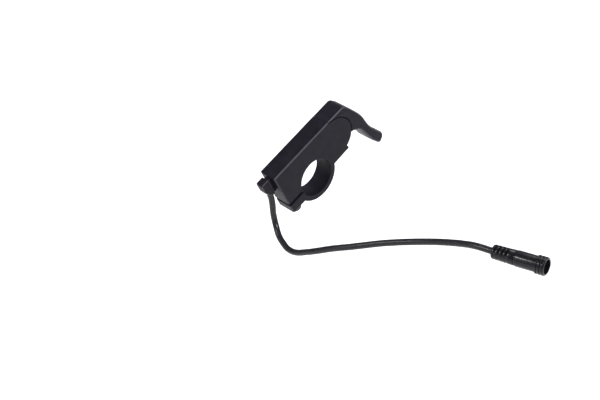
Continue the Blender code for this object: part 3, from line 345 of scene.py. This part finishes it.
FINISHES = {
    "housing_plastic": moulded_plastic("housing_plastic", (0.0066, 0.0060, 0.0092), 0.38),
    "cover_plastic": moulded_plastic("cover_plastic", (0.0064, 0.0058, 0.0090), 0.40),
    "paddle_plastic": moulded_plastic("paddle_plastic", (0.0074, 0.0067, 0.0102), 0.38),
    "gasket_rubber": soft_rubber("gasket_rubber", (0.012, 0.012, 0.012), 0.80),
    "grommet_rubber": moulded_plastic("grommet_rubber", (0.0070, 0.0060, 0.0090), 0.40),
    "seal_rubber": soft_rubber("seal_rubber", (0.55, 0.06, 0.03), 0.55),
    "plug_rubber": soft_rubber("plug_rubber", (0.0035, 0.0035, 0.0050), 0.20),
    "plug_core": moulded_plastic("plug_core", (0.030, 0.030, 0.032), 0.45),
    "sensor_resin": moulded_plastic("sensor_resin", (0.020, 0.020, 0.020), 0.55, 0.15),
    "washer_nylon": moulded_plastic("washer_nylon", (0.75, 0.74, 0.68), 0.50, 0.30, 0.01),
    "wire_red_sheath": moulded_plastic("wire_red_sheath", (0.50, 0.02, 0.02), 0.45, 0.20, 0.01),
    "wire_black_sheath": moulded_plastic("wire_black_sheath", (0.012, 0.012, 0.012), 0.45, 0.20, 0.01),
    "wire_green_sheath": moulded_plastic("wire_green_sheath", (0.02, 0.30, 0.06), 0.45, 0.20, 0.01),
    "cable_sheath": cable_sheath("cable_sheath", (0.0050, 0.0050, 0.0065), 0.28),
    "screw_steel": turned_metal("screw_steel", (0.12, 0.12, 0.13), 0.36),
    "pin_steel": turned_metal("pin_steel", (0.17, 0.17, 0.18), 0.40),
    "bolt_steel": turned_metal("bolt_steel", (0.055, 0.055, 0.060), 0.38),
    "nut_steel": turned_metal("nut_steel", (0.52, 0.52, 0.54), 0.34),
    "spring_steel": turned_metal("spring_steel", (0.50, 0.50, 0.52), 0.30),
    "magnet_metal": turned_metal("magnet_metal", (0.62, 0.62, 0.61), 0.22),
    "bushing_bronze": turned_metal("bushing_bronze", (0.55, 0.36, 0.18), 0.42),
    "contact_metal": turned_metal("contact_metal", (0.78, 0.58, 0.27), 0.26),
    "board_laminate": board_laminate("board_laminate", (0.02, 0.12, 0.05)),
}


# ---------------------------------------------------------------- surfaces


def grid_faces(rows, columns):
    """Quads of a grid of rows, each of which closes on itself."""
    row = np.arange(rows - 1)[:, None] * columns
    here = np.arange(columns)[None, :]
    after = (here + 1) % columns
    return np.stack([row + here, row + after, row + columns + after, row + columns + here], -1).reshape(-1, 4)


def add_piece(name, points_mm, faces, slot, replaced, body="body", sharp=40.0):
    """A piece from points in millimetres and its faces. It rides on a body and stands for CAD nodes."""
    mesh = bpy.data.meshes.new(name)
    mesh.from_pydata((points_mm * MM).tolist(), [], faces)
    made = bmesh.new()
    made.from_mesh(mesh)
    bmesh.ops.remove_doubles(made, verts=made.verts, dist=1e-7)
    bmesh.ops.recalc_face_normals(made, faces=made.faces)
    made.to_mesh(mesh)
    made.free()
    piece = bpy.data.objects.new(name, mesh)
    bpy.context.scene.collection.objects.link(piece)
    return finish_piece(piece, slot, replaced, body, sharp)


def finish_piece(piece, slot, replaced, body, sharp):
    """Shade a piece smooth with sharp edges over an angle, give it its finish and tie it to the frame."""
    piece.data.shade_smooth()
    piece.data.set_sharp_from_angle(angle=math.radians(sharp))
    piece.data.materials.clear()
    piece.data.materials.append(FINISHES[slot])
    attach(piece, body)
    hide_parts(*replaced)
    return piece


def mark_painted_highlight(mesh):
    """Painted highlight attribute of each face: 1 on the rounded rims between the side faces, whose normals
    lie along X, and the edge faces, whose normals lie across it, 0 on both of those, and 0 near the pivot."""
    # Painted highlight mask: rims between side faces and edge faces, cut out near the pivot
    normals = np.empty(len(mesh.polygons) * 3, np.float32)
    mesh.polygons.foreach_get("normal", normals)
    lean = np.abs(normals[0::3])
    painted_highlight_edge = smooth_step(lean, 0.08, 0.35) * (1 - smooth_step(lean, 0.88, 0.985))
    centres = np.empty(len(mesh.polygons) * 3, np.float32)
    mesh.polygons.foreach_get("center", centres)
    reach = np.linalg.norm(centres.reshape(-1, 3)[:, 1:] / MM - around_pivot(0.0, 0.0), axis=1)
    painted_highlight_edge *= reach > PAINTED_HIGHLIGHT_FROM
    mesh.attributes.new("painted_highlight_edge", "FLOAT", "FACE").data.foreach_set("value", painted_highlight_edge.astype(np.float32))


def lofted(name, sections, slot, replaced, body="body", sharp=40.0):
    """A closed skin over sections, an array of rings: one ring to the next, with both ends filled."""
    rows, columns = sections.shape[:2]
    faces = grid_faces(rows, columns).tolist()
    last = (rows - 1) * columns
    faces += [list(range(columns)), list(range(last, last + columns))]
    return add_piece(name, sections.reshape(-1, 3), faces, slot, replaced, body, sharp)


def smooth_path(route, step):
    """Points a step apart on the Catmull-Rom curve through the route: each span is the cubic whose slope
    at a point is half the chord between its neighbours."""
    route = np.array(route, float)
    padded = np.vstack([2 * route[0] - route[1], route, 2 * route[-1] - route[-2]])
    a, b, c, d = (padded[k : len(padded) - 3 + k, None] for k in range(4))
    t = np.linspace(0, 1, 24, endpoint=False)[None, :, None]
    fine = 0.5 * (2 * b + (c - a) * t + (2 * a - 5 * b + 4 * c - d) * t**2 + (3 * b - a - 3 * c + d) * t**3)
    fine = np.vstack([fine.reshape(-1, 3), route[-1:]])
    length = np.concatenate([[0], np.cumsum(np.linalg.norm(np.diff(fine, axis=0), axis=1))])
    stops = np.linspace(0, length[-1], round(length[-1] / step) + 1)
    return np.stack([np.interp(stops, length, fine[:, k]) for k in range(3)], axis=1)


def make_cable():
    """Round cable: a circle carried along the path, square to it. Both ends are tucked a little way into
    the block and the plug that hold them."""
    path = smooth_path(CABLE_ROUTE, CABLE_STEP)
    first = path[0] - CABLE_TUCK * (path[1] - path[0]) / np.linalg.norm(path[1] - path[0])
    last = path[-1] + CABLE_TUCK * (path[-1] - path[-2]) / np.linalg.norm(path[-1] - path[-2])
    path = np.vstack([first, path, last])
    tangent = np.gradient(path, axis=0)
    tangent /= np.linalg.norm(tangent, axis=1)[:, None]
    side = np.cross(tangent, (0.0, 1.0, 0.0))
    side /= np.linalg.norm(side, axis=1)[:, None]
    rise = np.cross(tangent, side)
    angle = np.arange(CABLE_COLUMNS) * 2 * math.pi / CABLE_COLUMNS
    ring = side[:, None] * np.cos(angle)[:, None] + rise[:, None] * np.sin(angle)[:, None]
    cable = lofted("cable_sheathed", path[:, None] + CABLE_RADIUS * ring, "cable_sheath", ["cable"])
    lay_sheath_uv(cable, path)
    return cable, path


def lay_sheath_uv(cable, path):
    """UV map in which V is the distance along the path, in metres, of the nearest path point, and U is the
    turn round it, as the fraction whose cosine and sine are the corner's offsets along two fixed axes."""
    mesh = cable.data
    corners = np.empty(len(mesh.loops), int)
    mesh.loops.foreach_get("vertex_index", corners)
    points = np.empty(len(mesh.vertices) * 3)
    mesh.vertices.foreach_get("co", points)
    points = points.reshape(-1, 3) / MM
    nearest = np.linalg.norm(points[:, None] - path[None], axis=2).argmin(axis=1)
    length = np.concatenate([[0], np.cumsum(np.linalg.norm(np.diff(path, axis=0), axis=1))])
    offset = points - path[nearest]
    turn = np.abs(np.arctan2(offset[:, 2], offset[:, 1])) / math.pi
    layer = mesh.uv_layers.new(name="sheath")
    layer.data.foreach_set("uv", np.stack([turn[corners], length[nearest][corners] * MM], 1).ravel())


def rounded_rectangle(half_height, half_width, corner, steps=7):
    """Unit-free ring of a rectangle with round corners: each corner is a quarter circle about a point one
    radius in from both sides. Arrays of sizes give an array of rings."""
    quarter = np.linspace(0, math.pi / 2, steps)
    angle = np.concatenate([quarter + k * math.pi / 2 for k in range(4)])
    up = np.repeat([1, 1, -1, -1], steps)
    across = np.repeat([1, -1, -1, 1], steps)
    cos, sin = np.cos(angle), np.sin(angle)
    width_way = across * (half_width - corner)[:, None] + corner[:, None] * cos
    height_way = up * (half_height - corner)[:, None] + corner[:, None] * sin
    return height_way, width_way


def make_grommet():
    """Strain-relief block: its side view as a slab with rolled rims, and behind it, as one more skin, a
    slimmer neck up to the housing, the neck through its wall and the flange inside."""
    run, drop = GROMMET_SLANT
    corners = [(GROMMET_END, GROMMET_TOP), (GROMMET_END, GROMMET_BOTTOM)]
    corners += [(GROMMET_START + run, GROMMET_BOTTOM), (GROMMET_START, GROMMET_BOTTOM - drop)]
    corners += [(GROMMET_START, GROMMET_TOP)]
    line = [np.array(slab(s, w)) for s, w in [corners[-1], *corners, corners[0]]]
    outline = evenly(np.vstack(rounded_line(line, GROMMET_ROUNDINGS)), GROMMET_STEP)
    rings = rolled_rings(outline, np.full(len(outline), GROMMET_RIM), GROMMET_HALF_WIDTH)
    block = lofted("strain_relief", rings, "grommet_rubber", ["cable_grommet"], sharp=50.0)
    # Painted highlight along the block's rims
    mark_painted_highlight(block.data)
    neck_top, neck_low = GROMMET_TOP + GROMMET_NECK_STEP, GROMMET_BOTTOM - GROMMET_NECK_RISE
    slim = ((neck_top + neck_low) / 2, (neck_low - neck_top) / 2, GROMMET_HALF_WIDTH - GROMMET_NECK_STEP)
    stations = [(GROMMET_END - GROMMET_NECK_TUCK, *slim), (GROMMET_NECK_END, *slim)]
    stations += [(GROMMET_NECK_END, *WALL_NECK), (WALL_FLANGE_START, *WALL_NECK)]
    stations += [(WALL_FLANGE_START, *WALL_FLANGE), (WALL_FLANGE_END, *WALL_FLANGE)]
    s, depth, half_height, half_width = np.array(stations).T
    height_way, width_way = rounded_rectangle(half_height, half_width, 0 * s + GROMMET_NECK_CORNER)
    y, z = slab(s[:, None] + 0 * height_way, depth[:, None] + height_way)
    lofted("relief_neck", np.stack([width_way, y, z], -1), "grommet_rubber", ["cable_grommet"], sharp=35.0)


def plug_place():
    """Placement of the plug's axis, local X, from the cable's last point onwards, in millimetres."""
    turn = Matrix.Rotation(PLUG_YAW, 4, "Z") @ Matrix.Rotation(-PLUG_RISE, 4, "Y")
    start = Vector(CABLE_ROUTE[-1]) + turn @ Vector((PLUG_GAP, 0.0, 0.0))
    return np.array(Matrix.Translation(start) @ turn)


def arc_profile(start, end, steps=5):
    """Points of a quarter of an ellipse from start to end, leaving along the radius: t and r each follow a
    cosine or sine of the turn."""
    turn = np.linspace(0, math.pi / 2, steps)
    t = start[0] + (end[0] - start[0]) * (1 - np.cos(turn))
    r = start[1] + (end[1] - start[1]) * np.sin(turn)
    return np.stack([t, r], 1)


def make_plug():
    """Plug shell: a radius r(t) turned about the axis. In the tail's slots the ring is clipped to a flat on
    each side, so there r is the lesser of r(t) and the flat's distance over the cosine of the turn."""
    mouth, tail, barrel = CABLE_RADIUS + PLUG_MOUTH, PLUG_TAIL_RADIUS, PLUG_BARREL_RADIUS
    slots = []
    for start in PLUG_SLOT_STARTS:
        end = start + PLUG_SLOT_WIDTH
        slots += [(start - 0.14, 0, 0.0), (start - 0.03, 0, 0.03), (start + 0.04, 1, 0.1)]
        slots += [(end - 0.04, 1, 0.1), (end + 0.03, 0, 0.03), (end + 0.14, 0, 0.0)]
    slot_t, slot_on, slot_edge = np.array(slots).T
    slot_r = tail - 0.14 + slot_t * 0.02 - slot_edge
    head = np.vstack(
        [
            [(1.1, 0.02), (1.1, CABLE_RADIUS + 0.2), (0.25, CABLE_RADIUS + 0.25)],
            [(0.0, CABLE_RADIUS + 0.45), (0.0, mouth - 0.15)],
            arc_profile((0.0, mouth - 0.15), (0.6, tail - 0.16), 6)[1:],
            [(0.95, tail - 0.13)],
        ]
    )
    ribs = []
    foot = barrel + PLUG_RIB_FOOT
    for start in PLUG_RIB_STARTS:
        first = start == PLUG_RIB_STARTS[0]
        ribs += [(start, foot - PLUG_RIB_FOOT if first else foot), (start + 0.10, foot + 0.30)]
        ribs += [(start + 0.22, PLUG_COLLAR_RADIUS - 0.03), (start + 0.40, PLUG_COLLAR_RADIUS)]
        ribs += [(start + 0.80, PLUG_COLLAR_RADIUS), (start + 0.98, PLUG_COLLAR_RADIUS - 0.03)]
        ribs += [(start + 1.10, foot + 0.30), (start + 1.20, foot)]
    ribs = [point for point in ribs if point[0] < PLUG_LENGTH - 0.2]
    inner = PLUG_SOCKET_RADIUS
    floor = PLUG_LENGTH - PLUG_SOCKET_DEPTH
    rest = np.array(
        [(9.0, tail + 0.04), (11.7, tail + 0.10), (11.85, tail + 0.02)]
        + [(11.95, tail - PLUG_GROOVE), (12.35, tail - PLUG_GROOVE)]
        + [(12.45, barrel - 0.12), (12.6, barrel - 0.03), (12.9, barrel), (22.8, barrel)]
        + ribs
        + [(PLUG_LENGTH - 0.2, foot), (PLUG_LENGTH - 0.05, foot - 0.06), (PLUG_LENGTH, foot - 0.2)]
        + [(PLUG_LENGTH, inner + 0.15), (PLUG_LENGTH - 0.15, inner), (floor, inner), (floor, 0.02)]
    )
    profile = np.vstack([head, np.stack([slot_t, slot_r], 1), rest])
    clipped = np.concatenate([np.zeros(len(head)), slot_on, np.zeros(len(rest))])[:, None]
    angle = np.arange(PLUG_COLUMNS)[None] * 2 * math.pi / PLUG_COLUMNS
    flat = PLUG_SLOT_FLAT / np.maximum(np.abs(np.cos(angle - PLUG_SLOT_TURN)), 1e-3)
    radius = profile[:, 1:] + 0 * angle
    radius = np.where(clipped > 0, np.minimum(radius, flat), radius)
    place = plug_place()
    local = np.stack([profile[:, :1] + 0 * angle, radius * np.cos(angle), radius * np.sin(angle)], -1)
    points = local @ place[:3, :3].T + place[:3, 3]
    return lofted("plug_shell", points, "plug_rubber", ["plug_body"], sharp=38.0)


def around_pivot(radius, angle):
    """World y and z at a radius and angle about the pivot."""
    y, z = slab(PIVOT_S, PIVOT_W)
    return np.stack(np.broadcast_arrays(y + radius * np.cos(angle), z + radius * np.sin(angle)), -1)


def on_blade(along, out):
    """World y and z of a point along the blade from the pivot, and out from that line."""
    cos, sin = math.cos(BLADE_ANGLE), math.sin(BLADE_ANGLE)
    return around_pivot(0.0, 0.0) + (along * cos - out * sin, along * sin + out * cos)


def along_blade(points):
    """How far along the blade each y, z point lies."""
    return (points - around_pivot(0.0, 0.0)) @ (math.cos(BLADE_ANGLE), math.sin(BLADE_ANGLE))


def rounded_corner(before, here, after, radius, steps=10):
    """Arc that replaces a corner: its centre is on the bisector, a radius from both sides."""
    to_before = (before - here) / np.linalg.norm(before - here)
    to_after = (after - here) / np.linalg.norm(after - here)
    half = math.acos(float(np.clip(to_before @ to_after, -1, 1))) / 2
    bisector = (to_before + to_after) / np.linalg.norm(to_before + to_after)
    centre = here + bisector * radius / math.sin(half)
    reach = radius / math.tan(half)
    first = here + to_before * reach - centre
    last = here + to_after * reach - centre
    start = math.atan2(first[1], first[0])
    turn = math.remainder(math.atan2(last[1], last[0]) - start, 2 * math.pi)
    angle = start + turn * np.linspace(0, 1, steps + 1)
    return centre + radius * np.stack([np.cos(angle), np.sin(angle)], 1)


def rounded_line(line, radii):
    """An arc for each inner point of a line, each with its own radius."""
    return [rounded_corner(line[k], line[k + 1], line[k + 2], radius) for k, radius in enumerate(radii)]


def paddle_outline():
    """Side view of the paddle: seam, top line, rounded heel, blade, and the rim's inner arc."""
    seam = np.array(slab(PIVOT_S - SEAM_CLOSE, 0.0))
    heel = np.array(slab(PIVOT_S + PADDLE_HEEL, 0.0))
    corners = [on_blade(along, out) for along, out, _ in BLADE_CORNERS]
    arc = around_pivot(ARC_RADIUS, np.linspace(RIM_END, RIM_START, 90))
    line = [seam, heel, *corners, arc[0]]
    radii = [PADDLE_HEEL_ROUNDING, *(radius for *_, radius in BLADE_CORNERS)]
    return np.vstack([seam, *rounded_line(line, radii), arc])


def evenly(outline, step):
    """The closed outline with extra points on its long sides, so that none is longer than a step."""
    ends = np.roll(outline, -1, axis=0)
    parts = np.maximum(1, np.ceil(np.linalg.norm(ends - outline, axis=1) / step)).astype(int)
    index = np.repeat(np.arange(len(outline)), parts)
    share = np.arange(parts.sum()) - np.repeat(np.cumsum(parts) - parts, parts)
    share = (share / parts[index])[:, None]
    return outline[index] * (1 - share) + ends[index] * share


def rolled_rings(outline, roll, half, steps=6):
    """Rings of a slab whose two rims are rolled over. Each edge of the outline has its own roll radius r:
    at a turn a from the side face, the ring lies r(1 - sin a) inwards and r(1 - cos a) in from the face.
    A corner goes to where its two moved edges meet, which is a pair of linear equations per corner."""
    ends = np.roll(outline, -1, axis=0)
    way = (ends - outline) / np.linalg.norm(ends - outline, axis=1)[:, None]
    area = np.sum(outline[:, 0] * ends[:, 1] - ends[:, 0] * outline[:, 1])
    inward = np.stack([-way[:, 1], way[:, 0]], 1) * np.sign(area)
    pairs = np.stack([np.roll(inward, 1, axis=0), inward], 1)
    radii = np.stack([np.roll(roll, 1), roll], 1)
    shift = (np.linalg.pinv(pairs, rcond=0.02) @ radii[:, :, None])[:, :, 0]
    depth = (np.roll(roll, 1) + roll) / 2
    turn = np.linspace(0, math.pi / 2, steps)[:, None]
    inset = outline + (1 - np.sin(turn))[:, :, None] * shift
    face = half - (1 - np.cos(turn)) * depth
    near = np.concatenate([face[:, :, None], inset], -1)
    far = np.concatenate([-face[::-1, :, None], inset[::-1]], -1)
    return np.concatenate([near, far])


def smooth_step(value, start, end):
    """0 before start, 1 after end, and 3t^2 - 2t^3 between."""
    t = np.clip((value - start) / (end - start), 0, 1)
    return t * t * (3 - 2 * t)


def make_paddle():
    """Thumb paddle: its side view as a slab with rolled rims. The roll is nearly nothing at the
    seam, small on the inner arc, larger on the rim, and grows along the blade."""
    outline = evenly(paddle_outline(), PADDLE_STEP)
    middle = (outline + np.roll(outline, -1, axis=0)) / 2
    reach = np.linalg.norm(middle - around_pivot(0.0, 0.0), axis=1)
    growth = smooth_step(along_blade(middle), BLADE_ROLL_FROM, BLADE_ROLL_FULL)
    roll = RIM_ROLL + (BLADE_ROLL - RIM_ROLL) * growth
    roll = np.where(reach < ARC_ROLL_REACH, ARC_ROLL, roll)
    roll[-1] = SEAM_ROLL
    rings = rolled_rings(outline, roll, HALF)
    paddle = lofted("paddle_moulding", rings, "paddle_plastic", ["paddle"], "lever", 50.0)
    # Painted highlight along the paddle's rims
    mark_painted_highlight(paddle.data)


def make_rotor():
    """Rotor disc between the plates: a profile of x and radius carried round the pivot. Its outer radius
    is the rim's over the rim's sector and the disc's over the rest, and a ring groove seats the spring."""
    outer = ROTOR_RADIUS
    inner, (low, high) = ROTOR_BORE, ROTOR_SEAT
    e, h, floor = ROTOR_EDGE, ROTOR_HALF, ROTOR_SEAT_X
    x = np.array([-h, -h, -h + e, h - e, h, h, h - e, floor, floor, h - e, h, h, h - e, -h + e])
    face, groove = [outer - e, high + e], [high, high, low, low]
    bore = [low - e, inner + e, inner, inner]
    r = np.array([inner + e, outer - e, outer, outer, *face, *groove, *bore])
    grows = np.array([0, 1, 1, 1, 1, 0, 0, 0, 0, 0, 0, 0, 0, 0])
    rim = np.linspace(RIM_END, RIM_START, ROTOR_RIM_STEPS)
    angle = np.concatenate([rim, np.linspace(RIM_START, RIM_END + 2 * math.pi, ROTOR_DISC_STEPS)])
    full = np.repeat([ARC_RADIUS + ARC_OVERLAP - outer, 0.0], [ROTOR_RIM_STEPS, ROTOR_DISC_STEPS])
    radius = r[None] + full[:, None] * grows[None]
    yz = around_pivot(radius, angle[:, None])
    points = np.concatenate([np.broadcast_to(x[None, :, None], (*radius.shape, 1)), yz], -1)
    points = np.concatenate([points, points[:1]])
    rows, columns = points.shape[:2]
    faces = grid_faces(rows, columns).tolist()
    add_piece("paddle_rotor", points.reshape(-1, 3), faces, "paddle_plastic", ["paddle"], "lever", 50.0)


# ---------------------------------------------------------------- CAD nodes made finer

REFINED = (
    ("housing", "housing_moulding", "housing_plastic", 0.16, "body"),
    ("housing_cover", "cover_moulding", "cover_plastic", 0.14, "body"),
    ("cover_gasket", "cover_seal_frame", "gasket_rubber", 0.10, "body"),
    ("cover_screw_1", "cover_screw_nose", "screw_steel", 0.06, "body"),
    ("cover_screw_2", "cover_screw_top", "screw_steel", 0.06, "body"),
    ("cover_screw_3", "cover_screw_ledge", "screw_steel", 0.06, "body"),
    ("pivot_pin", "pivot_pin_turned", "pin_steel", 0.08, "body"),
    ("pivot_washer_inner", "inboard_washer", "washer_nylon", 0.06, "body"),
    ("pivot_washer_outer", "outboard_washer", "washer_nylon", 0.06, "body"),
    ("paddle_bushing", "bushing_turned", "bushing_bronze", 0.06, "lever"),
    ("magnet_north", "magnet_north_disc", "magnet_metal", 0.08, "lever"),
    ("magnet_south", "magnet_south_disc", "magnet_metal", 0.08, "lever"),
    ("return_spring", "torsion_spring", "spring_steel", 0.0, "body"),
    ("sensor_board", "board_cut", "board_laminate", 0.05, "body"),
    ("hall_sensor", "sensor_package", "sensor_resin", 0.05, "body"),
    ("wire_red", "core_red", "wire_red_sheath", 0.0, "body"),
    ("wire_black", "core_black", "wire_black_sheath", 0.0, "body"),
    ("wire_green", "core_green", "wire_green_sheath", 0.0, "body"),
    ("pinch_bolt", "pinch_bolt_turned", "bolt_steel", 0.10, "body"),
    ("pinch_nut", "pinch_nut_cut", "nut_steel", 0.10, "body"),
    ("plug_insert", "contact_block", "plug_core", 0.10, "body"),
    ("plug_pin_1", "contact_pin_a", "contact_metal", 0.05, "body"),
    ("plug_pin_2", "contact_pin_b", "contact_metal", 0.05, "body"),
    ("plug_pin_3", "contact_pin_c", "contact_metal", 0.05, "body"),
    ("plug_seal", "plug_ring_seal", "seal_rubber", 0.0, "body"),
)
# CAD nodes whose rims get the painted highlight
PAINTED_HIGHLIGHT_NODES = ("housing", "housing_cover")
JOIN_DISTANCE = 2e-6
FLAT_ANGLE = 0.4
SHARP_ANGLE = 50.0


def refined(node, name, slot, edge, body):
    """A copy of a CAD node with its loose triangles merged and flat areas joined. Edges sharper than the
    sharp angle are rounded by `edge` millimetres, and softer ones are shaded as one surface."""
    mesh = bpy.data.meshes.new(name)
    made = bmesh.new()
    made.from_mesh(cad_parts[node].data)
    bmesh.ops.remove_doubles(made, verts=made.verts, dist=JOIN_DISTANCE)
    flat = math.radians(FLAT_ANGLE)
    bmesh.ops.dissolve_limit(
        made, angle_limit=flat, verts=made.verts, edges=made.edges, use_dissolve_boundaries=False
    )
    made.to_mesh(mesh)
    made.free()
    # Painted highlight along the rims of the housing and its cover
    if node in PAINTED_HIGHLIGHT_NODES:
        mark_painted_highlight(mesh)
    piece = bpy.data.objects.new(name, mesh)
    bpy.context.scene.collection.objects.link(piece)
    if edge:
        bevel = piece.modifiers.new("Edges", "BEVEL")
        bevel.width = edge * MM
        bevel.segments = 2
        bevel.limit_method = "ANGLE"
        bevel.angle_limit = math.radians(SHARP_ANGLE)
        bevel.use_clamp_overlap = True
        bevel.miter_outer = "MITER_ARC"
    finish_piece(piece, slot, [node], body, SHARP_ANGLE)
    weigh = piece.modifiers.new("Normals", "WEIGHTED_NORMAL")
    weigh.keep_sharp = True
    return piece


cable, cable_path = make_cable()
make_grommet()
plug = make_plug()
make_paddle()
make_rotor()
pieces = {entry[0]: refined(*entry) for entry in REFINED}

tuple(cable_path[0] * MM)
(cable_path * MM).tolist()


# ---------------------------------------------------------------- stage, light and camera

AIM = Vector((2.45, -9.16, -12.55)) * MM
AZIMUTH, ELEVATION = math.radians(47.5), math.radians(32.5)
DISTANCE = 667.0 * MM
LENS, SENSOR = 72.0, 36.0
FLOOR_DROP = 60.0 * MM
FLOOR_HALF_SIDE = 6.0
SURROUND = (0.95, 0.94, 1.0, 1.0)
SURROUND_STRENGTH = 0.36


def heading(azimuth, elevation):
    """Unit vector from the object towards this azimuth and elevation; azimuth 0 is -Y, 90 degrees is +X."""
    flat = math.cos(elevation)
    return Vector((math.sin(azimuth) * flat, -math.cos(azimuth) * flat, math.sin(elevation)))


def add_floor():
    """A wide pale floor some way under the object."""
    drop = cad_box[0].z - FLOOR_DROP
    side = FLOOR_HALF_SIDE
    mesh = bpy.data.meshes.new("floor")
    corners = [(-side, -side, drop), (side, -side, drop), (side, side, drop), (-side, side, drop)]
    mesh.from_pydata(corners, [], [(0, 1, 2, 3)])
    floor = bpy.data.objects.new("floor", mesh)
    bpy.context.scene.collection.objects.link(floor)
    made, shader, place = new_material("floor_paint")
    tone = place.noise(400.0, 2.0)
    wire_in(shader, "Base Color", tone.between((0.93, 0.93, 0.93), (0.96, 0.96, 0.96)))
    shader.inputs["Roughness"].default_value = 0.9
    mesh.materials.append(made)


def add_light(name, towards, distance, width, power, height=None):
    """A soft box at a distance along a direction, facing the object: square, or with a height of its own."""
    lamp = bpy.data.lights.new(name, "AREA")
    lamp.shape = "RECTANGLE"
    lamp.size, lamp.size_y = width, height or width
    lamp.energy = power
    stand = bpy.data.objects.new(name, lamp)
    bpy.context.scene.collection.objects.link(stand)
    towards = Vector(towards).normalized()
    stand.location = towards * distance
    stand.rotation_euler = (-towards).to_track_quat("-Z", "Y").to_euler()


def add_camera():
    """The camera at its azimuth and elevation, looking at the aim point."""
    lens = bpy.data.cameras.new("camera")
    lens.lens, lens.sensor_width = LENS, SENSOR
    lens.clip_start, lens.clip_end = 0.01, 20.0
    camera = bpy.data.objects.new("camera", lens)
    bpy.context.scene.collection.objects.link(camera)
    back = heading(AZIMUTH, ELEVATION)
    camera.location = AIM + back * DISTANCE
    camera.rotation_euler = (-back).to_track_quat("-Z", "Y").to_euler()
    bpy.context.scene.camera = camera


def light_room():
    """An even pale surround."""
    world = bpy.data.worlds.new("room")
    world.use_nodes = True
    sky = world.node_tree.nodes["Background"]
    sky.inputs["Color"].default_value = SURROUND
    sky.inputs["Strength"].default_value = SURROUND_STRENGTH
    bpy.context.scene.world = world
    bpy.context.scene.view_settings.view_transform = "Standard"


add_floor()
light_room()
add_light("key_box", (0.74, -0.05, 0.67), 0.9, 0.18, 9.0)
add_light("top_box", (-0.25, 0.55, 1.0), 2.2, 1.2, 26.0)
add_light("line_box", (-0.26, -0.66, 0.59), 0.95, 0.30, 3.6, height=0.06)
add_light("front_box", (-0.35, -1.0, 0.35), 1.2, 0.5, 1.5)
add_camera()
